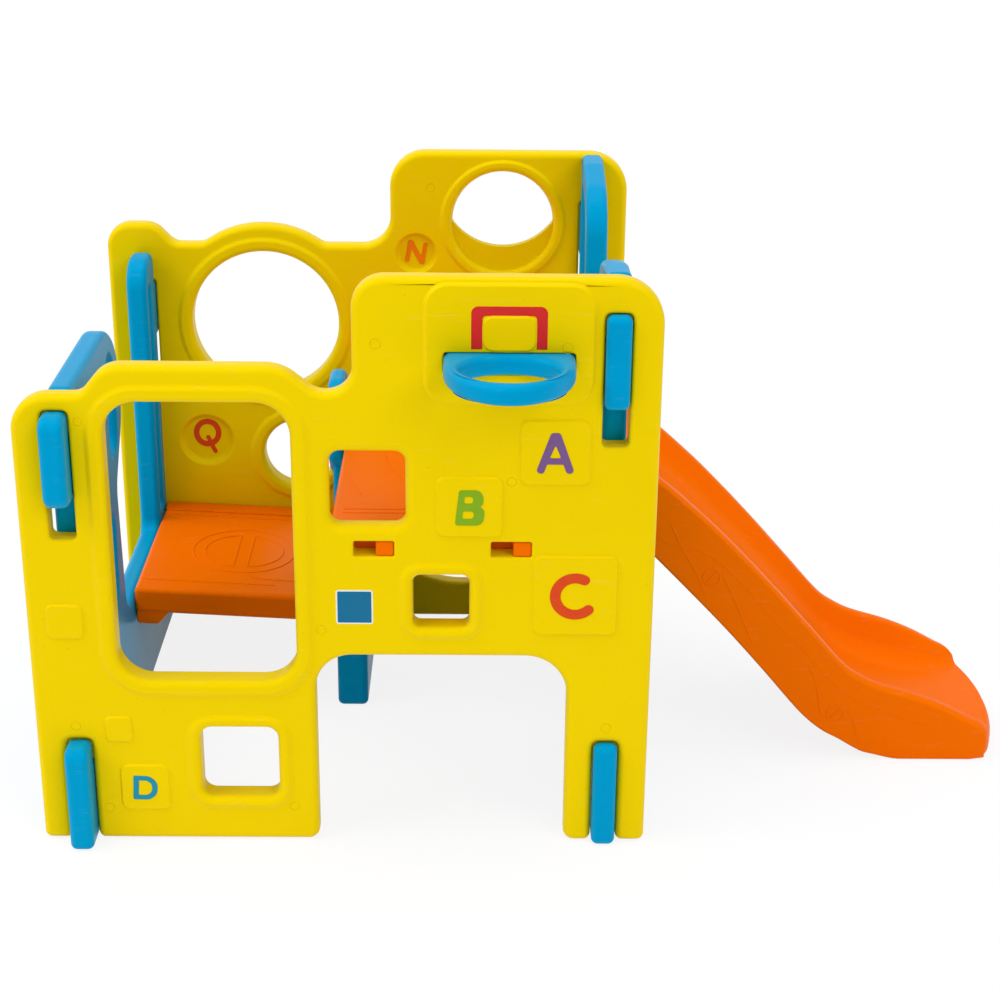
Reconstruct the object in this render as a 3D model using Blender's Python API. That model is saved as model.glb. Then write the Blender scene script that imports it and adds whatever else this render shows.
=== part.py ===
"""Toddler climbing playset: two yellow end walls hooked over blue side panels,
two orange decks at different heights, a slide and a push-in basketball hoop.

Every piece is a hollow blow-moulded plastic part on the real toy. The panels
are flat outlines with well rounded rims, so most of them start as 2D curves.
The blue panels carry L-shaped hooks on their edges. A yellow wall is lifted
over the hooks and drops by one lap, and that locks the frame together.

Units are metres, Z is up. X runs from the climbing side to the slide, and Y
runs from the front wall to the rear wall. Pieces are laid out from the left
edge and front face of the front wall, and one empty moves the whole toy so
that the world origin is the bottom centre of its bounding box.
"""

import math

import bmesh
import bpy
from mathutils import Matrix, Vector

# Overall sizes
WALL_WIDTH = 1.0885           # yellow end walls, along X
WALL_HEIGHT = 1.060
WALL_THICK = 0.042
BAY_DEPTH = 0.905             # clear space between the two yellow walls
BLUE_THICK = 0.0425           # climbing side and slide side panels
BLUE_INSET = 0.0538           # from a wall's edge to the blue panel's outer face
UPPER_DECK_Z = 0.5925         # standing surfaces above the floor
LOWER_DECK_Z = 0.267
LOWER_DECK_FALL = 0.020       # the lower deck hangs lower at the divider
SLIDE_RUN = 0.788             # slide beyond the blue panel, along X
HOOP_REACH = 0.174            # hoop in front of the wall

# Outlines are written for these sizes of the walls and decks
DRAWN_WIDTH = 1.0885
DRAWN_HEIGHT = 1.060
DRAWN_UPPER_DECK = 0.5925
DRAWN_LOWER_DECK = 0.267


def across(x):
    """Distance along a wall, carried over to its width."""
    return x * WALL_WIDTH / DRAWN_WIDTH


def up(z):
    """Height, where what stands above the upper deck stretches with the wall."""
    if z <= DRAWN_UPPER_DECK:
        return z
    return UPPER_DECK_Z + (z - DRAWN_UPPER_DECK) * (WALL_HEIGHT - UPPER_DECK_Z) / (DRAWN_HEIGHT - DRAWN_UPPER_DECK)


def wall_box(left, low, right, high):
    return across(left), up(low), across(right), up(high)


# Clearances
SEAT_GAP = 0.0004             # faces that rest on each other
SLOT_PLAY = 0.0015            # each side of a blue panel in its slot
DECK_PLAY = 0.0006            # around deck tabs and lugs
DECK_SIDE_PLAY = 0.0025       # between the upper deck and the divider's handle

# Moulded edges
WALL_RIM = 0.010
BLUE_RIM = 0.012
DECK_RIM = 0.008
HOOP_RIM = 0.012
PAD_RIM = 0.003
ARC_STEP = math.radians(30.0)   # facet angle on rounded corners
CIRCLE_FACETS = 24

# Hooks and the slots that take them
HOOK_STAND = 0.042            # climbing side: finger in front of the yellow wall
SLIDE_HOOK_STAND = 0.015      # slide side
HOOK_HEIGHT = 0.164
HOOK_LAP = 0.040              # finger above its neck, in front of solid wall
FOOT_HOOK_HEIGHT = 0.203
POCKET_DEPTH = 0.016          # shallow pocket that the finger's lap lies in
SLOT_DROP = 0.068             # open slot below the neck, for lifting off
FOOT_LIFT = 0.0015            # yellow walls hang clear of the floor
HOOK_BELOW_SHOULDER = 0.193   # left hook's lower edge below the wall's shoulder
HOOK_BELOW_TOP = 0.224        # right hook's lower edge below the wall's top
HOOK_TIP_ROUND = 0.45         # share of the finger's thickness
HOOK_ROOT_RADIUS = 0.0
HOOK_SLOT_CORNER = 0.010

# Front wall outline
ARCH_LEFT = across(0.4993)
ARCH_RIGHT = across(0.9415)
ARCH_HEIGHT = 0.3735
TOWER_LEFT = across(0.5726)
HEADER_Z = up(0.9052)
SHOULDER_Z = up(0.8530)
HEADER_START = across(0.162)
HEADER_END = across(0.454)
SHOULDER_END = across(0.119)
DIP_Z = up(0.8106)
FOOT_CORNER = 0.012           # corners of both walls at the floor
TOP_CORNER = 0.080
TOWER_CORNER = 0.055
DIP_CORNER = 0.045
HEADER_END_CORNER = 0.080
HEADER_CORNER = 0.055
SHOULDER_END_CORNER = 0.026
SHOULDER_CORNER = 0.065
ARCH_CORNER = 0.065
ARCH_RIGHT_CORNER = 0.075
ARCH_FOOT_CORNER = 0.020

# Openings and pads of the front wall: left, bottom, right, top
BIG_WINDOW = wall_box(0.1535, 0.3236, 0.4671, 0.8420)
SQUARE_WINDOW = wall_box(0.6714, 0.4312, 0.7691, 0.5305)
LOW_WINDOW = wall_box(0.2915, 0.0910, 0.4295, 0.2317)
PLAIN_WINDOW = wall_box(0.5300, 0.6210, 0.6597, 0.7550)
LETTER_PADS = (
    wall_box(0.8541, 0.7010, 0.9714, 0.8159),
    wall_box(0.7130, 0.6047, 0.8245, 0.7128),
    wall_box(0.8797, 0.4206, 1.0242, 0.5680),
    wall_box(0.1459, 0.0658, 0.2319, 0.1556),
)
PLAIN_PADS = (
    wall_box(0.0364, 0.4070, 0.0982, 0.4702),
    wall_box(0.1243, 0.2039, 0.1713, 0.2523),
)
FRAME_RISE = 0.005            # window frames stand proud of both faces
PAD_RISE = 0.004
BOARD_RISE = 0.006
FRAME_RIM = 0.009
BIG_CORNER = 0.060
BIG_FRAME = 0.027
SQUARE_CORNER = 0.014
SQUARE_FRAME = 0.020
LOW_CORNER = 0.022
LOW_FRAME = 0.021
PLAIN_CORNER = 0.020
LETTER_PAD_CORNER = 0.014
PLAIN_PAD_CORNER = 0.010
BOARD_CORNER = 0.040
BOARD_BLOCK_CORNER = 0.016
BOARD = wall_box(0.6937, 0.8456, 0.9737, 1.0510)
BOARD_BLOCK = wall_box(0.7900, 0.9393, 0.8764, 0.9970)

# Rear wall outline and openings
REAR_SHOULDER_Z = up(0.9033)
REAR_DIP_Z = up(0.8613)
REAR_TOWER_LEFT = across(0.5948)
REAR_SHOULDER_END = across(0.1006)
REAR_DIP_START = across(0.1406)
REAR_SCALE = (REAR_DIP_Z - LOWER_DECK_Z) / (0.8613 - DRAWN_LOWER_DECK)


def rear_circle(x, z, radius):
    """Circle that keeps its place between the lower deck and the wall's dip."""
    return across(x), LOWER_DECK_Z + (z - DRAWN_LOWER_DECK) * REAR_SCALE, radius * REAR_SCALE


REAR_ROUND = rear_circle(0.3275, 0.6905, 0.1552)     # x, z, radius
REAR_BUMP_RADIUS = 0.2124 * REAR_SCALE
REAR_SMALL = rear_circle(0.3920, 0.3930, 0.0760)
REAR_CRAWL = (across(0.7457), 0.2911, 0.2078)
REAR_PORT = (across(0.8299), WALL_HEIGHT - 0.1469, 0.1068)
REAR_PORT_SILL = WALL_HEIGHT - 0.2020
CUP_LARGE = rear_circle(0.1908, 0.4228, 0.0610)
CUP_SMALL = (across(0.6489), up(0.8446), 0.045)
REAR_TOWER_CORNER = 0.075
REAR_TOWER_FOOT = 0.060
REAR_BUMP_FOOT = 0.030        # soft start of the bump, along the dip
REAR_SHOULDER_CORNER = 0.050
REAR_DIP_CORNER = 0.033
CUP_DEPTH = 0.012
CUP_RIM = 0.006
ROUND_FRAME = 0.030
PORT_FRAME = 0.022
BUMP_RISE = 0.018             # start of the round bump above the dip
BUMP_STEPS = 8

# Deck tabs in the end walls: left edges and size
TAB_SLOT_LEFT = (across(0.5697), across(0.8057))
TAB_SLOT_WIDTH = 0.070
TAB_SLOT_HEIGHT = 0.028
TAB_WIDTH = 0.031
TAB_CORNER = 0.004

# Decks
UPPER_DECK_THICK = 0.045
LOWER_DECK_THICK = 0.065
LUG_WIDTH = 0.070
LUG_REACH = 0.020
LUG_HEIGHT = 0.026
LUG_ROOT = 0.030              # how far tabs and lugs reach back into a deck
REAR_LUG = WALL_THICK + BAY_DEPTH - 0.110
LOWER_LUGS = (0.640, REAR_LUG)   # lug centres from the front wall's face
UPPER_LUGS = (0.150, REAR_LUG)
UPPER_LUG_TOP = UPPER_DECK_Z - 0.012
LOWER_LUG_TOP = LOWER_DECK_Z - 0.038
DECK_CORNER = 0.010
LOWER_DECK_FRONT = 0.490      # from the front wall's face
TAB_INSET = 0.002             # tab ends behind the walls' outer faces
END_PAD_WIDTH = 0.045         # deeper ends of the lower deck
END_PAD_DEPTH = 0.022
END_PAD_CHAMFER = 0.020
END_PAD_INSET = 0.002

# Divider between the decks
DIVIDER_X = across(0.4971)
DIVIDER_THICK = 0.062
DIVIDER_HANDLE_THICK = 0.032
DIVIDER_HANDLE_STEP = 0.007   # handle plate proud of the body's left face
DIVIDER_FRONT = 0.517         # from the front wall's face
DIVIDER_HANDLE_FRONT = 0.500
DIVIDER_HANDLE_BACK = 0.650
DIVIDER_TOP = up(0.701)
DIVIDER_KNUCKLE = 0.043       # handle plate below the deck's ledge
DIVIDER_GRIP = 0.042          # bar round the finger slot
DIVIDER_GRIP_LOW = 0.060      # finger slot above the deck's ledge

# Climbing side panel, distances from the front wall's face
CLIMB_TOP = SHOULDER_Z - 0.005
CLIMB_RAIL_TOP = SHOULDER_Z - 0.005
CLIMB_BACK = 0.5024
CLIMB_NECK = (0.492, up(0.640))
CLIMB_WAIST = (0.402, 0.530)
CLIMB_SILL_START = 0.423
CLIMB_SWEEP = 0.140           # corner radii going down from the top
CLIMB_NECK_ROUND = 0.080
CLIMB_WAIST_ROUND = 0.060
CLIMB_SILL_ROUND = 0.050
CLIMB_RAIL_FOOT = 0.025
CLIMB_RAIL_ROUND = 0.060
ENTRY_SILL = 0.2573
CLIMB_RAIL_FRONT = WALL_THICK + BAY_DEPTH - 0.109
CLIMB_RAIL_BAR = 0.030
CLIMB_RAIL_STRIP = 0.050      # behind the entry handrail's finger slot
CLIMB_GRIP_LOW = 0.290
CLIMB_GRIP_ROUND = 0.013
HAND_HOLE = ((0.3653, up(0.6008), 0.020), (0.4253, up(0.6089), 0.030),
             (0.4336, up(0.7707), 0.040), (0.3687, up(0.8123), 0.024))
FOOT_HOLE = ((0.156, 0.330, 0.045), (0.344, 0.311, 0.040), (0.352, 0.505, 0.050), (0.160, 0.540, 0.060))

# Slide side panel
SLIDE_OFFSET = 0.0045         # slide's middle in front of the bay's middle
SLIDE_WIDTH = 0.3704
SLIDE_GATE_PLAY = 0.009
SILL_DROP = 0.020             # sill of the slide gate below the deck
GATE_RAIL_TOP = WALL_HEIGHT - 0.006
REAR_RAIL_TOP = WALL_HEIGHT - 0.024
GATE_RAIL_BULGE = 0.045
GRIP_BAR = 0.044
GRIP_STRIP = 0.030
GATE_SILL_ROUND = 0.016
GATE_FOOT_ROUND = 0.035       # lower end of the finger slots
GATE_TOP_RUN = 0.075          # level top of the handrail's outer end
GATE_TOP_ROUND = 0.070
GATE_TOP_DROP = 0.014
GATE_OUTER_ROUND = 0.024

# Slide
HOOK_LIP = 0.0135             # tongue that drops behind the sill
TONGUE_DROP = 0.050
RAIL_WIDTH = 0.022
NOSE_BOW = 0.034
NOSE_RADIUS = 0.022
NOSE_STEPS = 3
SLIDE_STATIONS = 24
RAIL_EDGE = 0.010

TROUGH_ROUND = 0.060          # from the rail's inner edge to the flat bed

# Lines of the slide: share of the run beyond the panel, share of the upper deck's height
RAIL_LINE = ((-0.09, 1.093), (0.0, 1.082), (0.105, 0.998), (0.225, 0.859), (0.313, 0.742), (0.402, 0.615),
             (0.493, 0.479), (0.585, 0.342), (0.630, 0.300), (0.674, 0.272), (0.763, 0.236), (0.852, 0.189),
             (0.93, 0.137), (1.0, 0.080))
BED_LINE = ((-0.09, 0.992), (0.0, 0.977), (0.105, 0.882), (0.225, 0.744), (0.402, 0.500), (0.493, 0.365),
            (0.585, 0.222), (0.630, 0.175), (0.705, 0.128), (0.823, 0.092), (0.93, 0.080), (1.0, 0.078))
UNDER_LINE = ((0.0, 0.868), (0.105, 0.726), (0.199, 0.596), (0.291, 0.465), (0.386, 0.320), (0.450, 0.218),
              (0.482, 0.170), (0.514, 0.130), (0.545, 0.100), (0.576, 0.078), (0.608, 0.052), (0.639, 0.029),
              (0.669, 0.018), (0.731, 0.0), (0.80, 0.0), (1.0, 0.0))

# Hoop
HOOP_WIDTH = 0.2176
HOOP_THICK = 0.0364
HOOP_TOP = up(0.9343)
HOOP_CENTRE_X = across(0.8333)
HOOP_TONGUE = 0.038
HOOP_BAR = 0.0275
HOOP_BACK_BAR = 0.018
HOOP_SIDE_RUN = 0.043
HOOP_PLAY = 0.0008
HOOP_SLOT_CORNER = 0.006
HOOP_STEPS = 18

# Worked out from the sizes above
WALL_BACK = WALL_THICK + BAY_DEPTH          # front face of the rear wall
REAR_FACE = WALL_BACK + WALL_THICK
MID_Y = REAR_FACE / 2
LEFT_HOOK_BASE = SHOULDER_Z - HOOK_BELOW_SHOULDER
RIGHT_HOOK_BASE = WALL_HEIGHT - HOOK_BELOW_TOP
LEFT_BLUE = BLUE_INSET
RIGHT_BLUE = WALL_WIDTH - BLUE_INSET - BLUE_THICK
SLIDE_HEAD = RIGHT_BLUE + BLUE_THICK
SLIDE_END = SLIDE_HEAD + SLIDE_RUN
CENTRE_X = SLIDE_END / 2
CENTRE_Y = (REAR_FACE + HOOK_STAND - HOOP_REACH) / 2
SLIDE_CENTRE = MID_Y - SLIDE_OFFSET
GATE_FRONT = SLIDE_CENTRE - SLIDE_WIDTH / 2 - SLIDE_GATE_PLAY
GATE_BACK = SLIDE_CENTRE + SLIDE_WIDTH / 2 + SLIDE_GATE_PLAY
GATE_SILL = UPPER_DECK_Z - SILL_DROP
DIVIDER_LEDGE = UPPER_DECK_Z - UPPER_DECK_THICK - SEAT_GAP
HANDLE_LEFT = DIVIDER_X - DIVIDER_HANDLE_STEP
DECK_LEFT = HANDLE_LEFT + DIVIDER_HANDLE_THICK + DECK_SIDE_PLAY
DECK_RIGHT = RIGHT_BLUE - HOOK_LIP - 3 * SEAT_GAP

YELLOW = (0.83, 0.64, 0.0)
BLUE = (0.0, 0.36, 0.65)
ORANGE = (0.91, 0.15, 0.0)

PARTS = "climbing_playset"
CUTTERS = "cutters"


def clear_scene():
    for obj in list(bpy.data.objects):
        bpy.data.objects.remove(obj, do_unlink=True)
    for name in (PARTS, CUTTERS):
        collection = bpy.data.collections.new(name)
        bpy.context.scene.collection.children.link(collection)


def plastic(name, colour):
    material = bpy.data.materials.new(name)
    material.use_nodes = True
    shader = material.node_tree.nodes["Principled BSDF"]
    shader.inputs["Base Color"].default_value = (*colour, 1.0)
    shader.inputs["Roughness"].default_value = 0.35
    shader.inputs["Metallic"].default_value = 0.0
    return material


def box_outline(box, radius, grow=0.0):
    """Corners of a rounded rectangle, grown outwards by a margin."""
    left, low, right, high = box
    radius = radius + grow
    return [
        (left - grow, low - grow, radius),
        (right + grow, low - grow, radius),
        (right + grow, high + grow, radius),
        (left - grow, high + grow, radius),
    ]


def circle(x, z, radius, facets=CIRCLE_FACETS):
    step = 2 * math.pi / facets
    return [(x + radius * math.cos(i * step), z + radius * math.sin(i * step)) for i in range(facets)]


def rounded(corners):
    """Turn corners (a, b, radius) into a loop of points with true arcs."""
    points = []
    count = len(corners)
    for i, (x, y, radius) in enumerate(corners):
        here = Vector((x, y))
        to_last = Vector(corners[i - 1][:2]) - here
        to_next = Vector(corners[(i + 1) % count][:2]) - here
        to_last.normalize()
        to_next.normalize()
        turn = math.pi - to_last.angle(to_next)
        if radius <= 0 or turn < 0.01:
            points.append((x, y))
            continue
        reach = radius * math.tan(turn / 2)
        centre = here + (to_last + to_next).normalized() * (radius / math.cos(turn / 2))
        start = here + to_last * reach - centre
        side = 1 if to_last.cross(to_next) < 0 else -1
        steps = max(1, round(turn / ARC_STEP))
        for k in range(steps + 1):
            spoke = start.copy()
            spoke.rotate(Matrix.Rotation(side * turn * k / steps, 2))
            points.append((centre.x + spoke.x, centre.y + spoke.y))
    return points


FACING = {
    "wall": (math.pi / 2, 0, 0),              # outline in X and Z
    "side": (math.pi / 2, 0, math.pi / 2),    # outline in Y and Z
    "floor": (0, 0, 0),                       # outline in X and Y
}


def place(facing, level):
    """Location of a slab whose mid plane lies at the given level."""
    return {"wall": (0, level, 0), "side": (level, 0, 0), "floor": (0, 0, level)}[facing]


def slab(name, loops, thick, rim, facing, level, rim_steps=1, collection=PARTS):
    """Flat moulding from 2D loops: the first is the outline, the rest are holes."""
    curve = bpy.data.curves.new(name, "CURVE")
    curve.dimensions = "2D"
    curve.fill_mode = "BOTH"
    curve.extrude = thick / 2 - rim
    curve.bevel_depth = rim
    curve.bevel_resolution = rim_steps
    curve.offset = -rim
    for loop in loops:
        spline = curve.splines.new("POLY")
        spline.points.add(len(loop) - 1)
        for point, (a, b) in zip(spline.points, loop):
            point.co = (a, b, 0, 1)
        spline.use_cyclic_u = True
    guide = bpy.data.objects.new(name + "_curve", curve)
    bpy.context.scene.collection.objects.link(guide)
    guide.location = place(facing, level)
    guide.rotation_euler = FACING[facing]
    bpy.context.view_layer.update()
    graph = bpy.context.evaluated_depsgraph_get()
    mesh = bpy.data.meshes.new_from_object(guide.evaluated_get(graph))
    mesh.name = name
    weld = bmesh.new()
    weld.from_mesh(mesh)
    bmesh.ops.remove_doubles(weld, verts=weld.verts, dist=0.00001)
    bmesh.ops.recalc_face_normals(weld, faces=weld.faces)
    weld.to_mesh(mesh)
    weld.free()
    obj = bpy.data.objects.new(name, mesh)
    obj.matrix_world = guide.matrix_world.copy()
    bpy.data.collections[collection].objects.link(obj)
    bpy.data.objects.remove(guide, do_unlink=True)
    return obj


def block(name, low, high):
    """Plain box used to cut a slot or to join a tab."""
    mesh = bpy.data.meshes.new(name)
    cube = bmesh.new()
    bmesh.ops.create_cube(cube, size=1.0)
    size = [b - a for a, b in zip(low, high)]
    middle = [(a + b) / 2 for a, b in zip(low, high)]
    bmesh.ops.scale(cube, vec=size, verts=cube.verts)
    bmesh.ops.translate(cube, vec=middle, verts=cube.verts)
    cube.to_mesh(mesh)
    cube.free()
    obj = bpy.data.objects.new(name, mesh)
    bpy.data.collections[CUTTERS].objects.link(obj)
    return obj


def use_tool(obj, tool, operation):
    """Cut with, or join, a hidden tool through a Boolean modifier."""
    for collection in list(tool.users_collection):
        collection.objects.unlink(tool)
    bpy.data.collections[CUTTERS].objects.link(tool)
    tool.hide_render = True
    tool.display_type = "WIRE"
    modifier = obj.modifiers.new(tool.name, "BOOLEAN")
    modifier.operation = operation
    modifier.solver = "EXACT"
    modifier.object = tool


def cut(obj, tool):
    use_tool(obj, tool, "DIFFERENCE")


def join(obj, tool):
    use_tool(obj, tool, "UNION")


def slab_tool(name, loops, thick, rim, facing, level, rim_steps=1):
    return slab(name, loops, thick, rim, facing, level, rim_steps, CUTTERS)


# Yellow end walls


def framed_opening(wall, name, level, opening, outer):
    """Raised window frame on both faces, joined round an oversize hole."""
    frame = slab_tool(name, [outer, opening], WALL_THICK + 2 * FRAME_RISE, FRAME_RIM, "wall", level, 0)
    join(wall, frame)


def raised_pad(wall, name, face, box, radius, rise):
    """Low block on a wall's outer face, rooted inside the wall."""
    root = 2 * rise
    middle = face + (root - rise) / 2
    pad = slab_tool(name, [rounded(box_outline(box, radius))], root + rise, PAD_RIM, "wall", middle, 0)
    join(wall, pad)


def hook_slots(wall, level, outer):
    """Slots and foot notches for the blue panels' hooks, each below a shallow pocket."""
    notch_top = FOOT_HOOK_HEIGHT - HOOK_LAP + SEAT_GAP
    for side, left, base in (("left", LEFT_BLUE, LEFT_HOOK_BASE), ("right", RIGHT_BLUE, RIGHT_HOOK_BASE)):
        near = left - SLOT_PLAY
        far = left + BLUE_THICK + SLOT_PLAY
        top = base + HOOK_HEIGHT - HOOK_LAP + SEAT_GAP
        for kind, low, high in (("slot", base - SLOT_DROP, top), ("notch", -notch_top, notch_top)):
            hole = rounded(box_outline((near, low, far, high), HOOK_SLOT_CORNER))
            cut(wall, slab_tool(f"{wall.name}_{side}_{kind}", [hole], 2 * WALL_THICK, 0.0, "wall", level))
            lap = (near - SEAT_GAP, high - HOOK_LAP / 2, far + SEAT_GAP, high + HOOK_LAP + SLOT_PLAY)
            pocket = rounded(box_outline(lap, HOOK_SLOT_CORNER))
            cut(wall, slab_tool(f"{wall.name}_{side}_{kind}_pocket", [pocket], 2 * POCKET_DEPTH, 0.0, "wall", outer))


def deck_slots(wall, level, lefts, top, deck):
    """Slots that a deck's end tabs rest in."""
    for i, left in enumerate(lefts):
        box = (left, top - TAB_SLOT_HEIGHT, left + TAB_SLOT_WIDTH, top + DECK_PLAY)
        slot = slab_tool(f"{wall.name}_{deck}_slot_{i + 1}", [rounded(box_outline(box, TAB_CORNER))],
                         2 * WALL_THICK, 0.0, "wall", level)
        cut(wall, slot)


def make_front_wall():
    level = WALL_THICK / 2
    foot = FOOT_LIFT
    outline = rounded([
        (0, foot, FOOT_CORNER),
        (ARCH_LEFT, foot, ARCH_FOOT_CORNER),
        (ARCH_LEFT, ARCH_HEIGHT, ARCH_CORNER),
        (ARCH_RIGHT, ARCH_HEIGHT, ARCH_RIGHT_CORNER),
        (ARCH_RIGHT, foot, ARCH_FOOT_CORNER),
        (WALL_WIDTH, foot, FOOT_CORNER),
        (WALL_WIDTH, WALL_HEIGHT, TOP_CORNER),
        (TOWER_LEFT, WALL_HEIGHT, TOWER_CORNER),
        (TOWER_LEFT, DIP_Z, DIP_CORNER),
        (HEADER_END, HEADER_Z, HEADER_END_CORNER),
        (HEADER_START, HEADER_Z, HEADER_CORNER),
        (SHOULDER_END, SHOULDER_Z, SHOULDER_END_CORNER),
        (0, SHOULDER_Z, SHOULDER_CORNER),
    ])
    framed = (("big_frame", BIG_WINDOW, BIG_CORNER, BIG_FRAME),
              ("square_frame", SQUARE_WINDOW, SQUARE_CORNER, SQUARE_FRAME),
              ("low_frame", LOW_WINDOW, LOW_CORNER, LOW_FRAME))
    holes = [rounded(box_outline(box, radius, width / 2)) for _, box, radius, width in framed]
    holes.append(rounded(box_outline(PLAIN_WINDOW, PLAIN_CORNER)))
    wall = slab("front_wall", [outline] + holes, WALL_THICK, WALL_RIM, "wall", level)
    for name, box, radius, width in framed:
        opening = rounded(box_outline(box, radius))
        outer = rounded(box_outline(box, radius, width))
        framed_opening(wall, name, level, opening, outer)
    raised_pad(wall, "backboard", 0.0, BOARD, BOARD_CORNER, BOARD_RISE)
    raised_pad(wall, "backboard_block", -BOARD_RISE, BOARD_BLOCK, BOARD_BLOCK_CORNER, PAD_RISE)
    for i, box in enumerate(LETTER_PADS):
        raised_pad(wall, f"letter_pad_{i + 1}", 0.0, box, LETTER_PAD_CORNER, PAD_RISE)
    for i, box in enumerate(PLAIN_PADS):
        raised_pad(wall, f"plain_pad_{i + 1}", 0.0, box, PLAIN_PAD_CORNER, PAD_RISE)
    hook_slots(wall, level, 0.0)
    deck_slots(wall, level, TAB_SLOT_LEFT, UPPER_DECK_Z, "upper")
    half = HOOP_WIDTH / 2 + HOOP_PLAY
    box = (HOOP_CENTRE_X - half, HOOP_TOP - HOOP_THICK - HOOP_PLAY, HOOP_CENTRE_X + half, HOOP_TOP + HOOP_PLAY)
    cut(wall, slab_tool("hoop_slot", [rounded(box_outline(box, HOOP_SLOT_CORNER))],
                        3 * WALL_THICK, 0.0, "wall", level))
    return wall


def port_outline(grow=0.0):
    """Round porthole whose lower edge is a shallow sagging arc."""
    x, z, radius = REAR_PORT
    radius = radius + grow
    sag = z - REAR_PORT_SILL + grow
    arc = (radius ** 2 + sag ** 2) / (2 * sag)
    half_angle = math.asin(radius / arc)
    top = [(x + radius * math.cos(a), z + radius * math.sin(a))
           for a in (math.pi * i / (CIRCLE_FACETS // 2) for i in range(CIRCLE_FACETS // 2 + 1))]
    steps = 8
    bottom = []
    for i in range(1, steps):
        angle = -half_angle + 2 * half_angle * i / steps
        bottom.append((x + arc * math.sin(angle), z - sag + arc - arc * math.cos(angle)))
    return top + bottom


def make_rear_wall():
    level = WALL_BACK + WALL_THICK / 2
    foot = FOOT_LIFT
    bump_x, bump_z, _ = REAR_ROUND
    bump_foot = REAR_DIP_Z + BUMP_RISE
    lift = bump_foot - bump_z
    spread = math.acos(lift / REAR_BUMP_RADIUS)
    bump_half = REAR_BUMP_RADIUS * math.sin(spread)
    bump = [(bump_x + REAR_BUMP_RADIUS * math.sin(a), bump_z + REAR_BUMP_RADIUS * math.cos(a))
            for a in (spread * (1 - 2 * i / BUMP_STEPS) for i in range(BUMP_STEPS + 1))]
    right = rounded([
        (0, foot, FOOT_CORNER),
        (WALL_WIDTH, foot, FOOT_CORNER),
        (WALL_WIDTH, WALL_HEIGHT, TOP_CORNER),
        (REAR_TOWER_LEFT, WALL_HEIGHT, REAR_TOWER_CORNER),
        (REAR_TOWER_LEFT, REAR_DIP_Z, REAR_TOWER_FOOT),
        (bump_x + bump_half + REAR_BUMP_FOOT, REAR_DIP_Z, REAR_BUMP_FOOT),
    ])
    left = rounded([
        (bump_x + bump_half, bump_foot, 0),
        (bump_x - bump_half - REAR_BUMP_FOOT, REAR_DIP_Z, REAR_BUMP_FOOT),
        (REAR_DIP_START, REAR_DIP_Z, REAR_DIP_CORNER),
        (REAR_SHOULDER_END, REAR_SHOULDER_Z, REAR_SHOULDER_CORNER),
        (0, REAR_SHOULDER_Z, REAR_SHOULDER_CORNER),
        (0, foot, FOOT_CORNER),
    ])
    outline = right + bump + left[1:-1 - round(math.pi / 2 / ARC_STEP)]
    rounds = (("round_frame", REAR_ROUND), ("small_frame", REAR_SMALL))
    holes = [circle(x, z, radius + ROUND_FRAME / 2) for _, (x, z, radius) in rounds]
    holes.append(circle(*REAR_CRAWL))
    holes.append(port_outline(ROUND_FRAME / 2))
    wall = slab("rear_wall", [outline] + holes, WALL_THICK, WALL_RIM, "wall", level)
    for name, (x, z, radius) in rounds:
        framed_opening(wall, name, level, circle(x, z, radius), circle(x, z, radius + ROUND_FRAME))
    framed_opening(wall, "port_frame", level, port_outline(), port_outline(PORT_FRAME))
    for name, (x, z, radius) in (("large_cup", CUP_LARGE), ("small_cup", CUP_SMALL)):
        cup = slab_tool(name, [circle(x, z, radius)], 4 * CUP_DEPTH, CUP_RIM, "wall", WALL_BACK - CUP_DEPTH)
        cut(wall, cup)
    hook_slots(wall, level, REAR_FACE)
    deck_slots(wall, level, TAB_SLOT_LEFT, UPPER_DECK_Z, "upper")
    return wall


# Blue panels


def hook_edge(base, stand):
    """Front edge of a blue panel going up: foot hook, then upper hook."""
    body = WALL_THICK + SEAT_GAP
    face = POCKET_DEPTH - SEAT_GAP
    tip = -stand
    tip_radius = HOOK_TIP_ROUND * (stand + face)
    inner = BLUE_RIM + 0.0005
    foot_neck = FOOT_HOOK_HEIGHT - HOOK_LAP
    top = base + HOOK_HEIGHT
    return [
        (tip, 0, inner),
        (tip, FOOT_HOOK_HEIGHT, tip_radius),
        (face, FOOT_HOOK_HEIGHT, inner),
        (face, foot_neck, HOOK_ROOT_RADIUS),
        (body, foot_neck, HOOK_ROOT_RADIUS),
        (body, base, HOOK_ROOT_RADIUS),
        (tip, base, tip_radius),
        (tip, top, tip_radius),
        (face, top, inner),
        (face, top - HOOK_LAP, HOOK_ROOT_RADIUS),
        (body, top - HOOK_LAP, HOOK_ROOT_RADIUS),
    ]


def mirrored(corners):
    """The same edge seen from the rear wall, running down."""
    return [(2 * MID_Y - y, z, radius) for y, z, radius in reversed(corners)]


def lug_socket(panel, name, face, inward, y, top):
    """Blind pocket in a panel's inner face for a deck lug."""
    depth = LUG_REACH + DECK_PLAY
    half = LUG_WIDTH / 2 + DECK_PLAY
    near, far = sorted((face - inward * 0.01, face + inward * depth))
    cut(panel, block(name, (near, y - half, top - LUG_HEIGHT - DECK_PLAY), (far, y + half, top + DECK_PLAY)))


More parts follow.
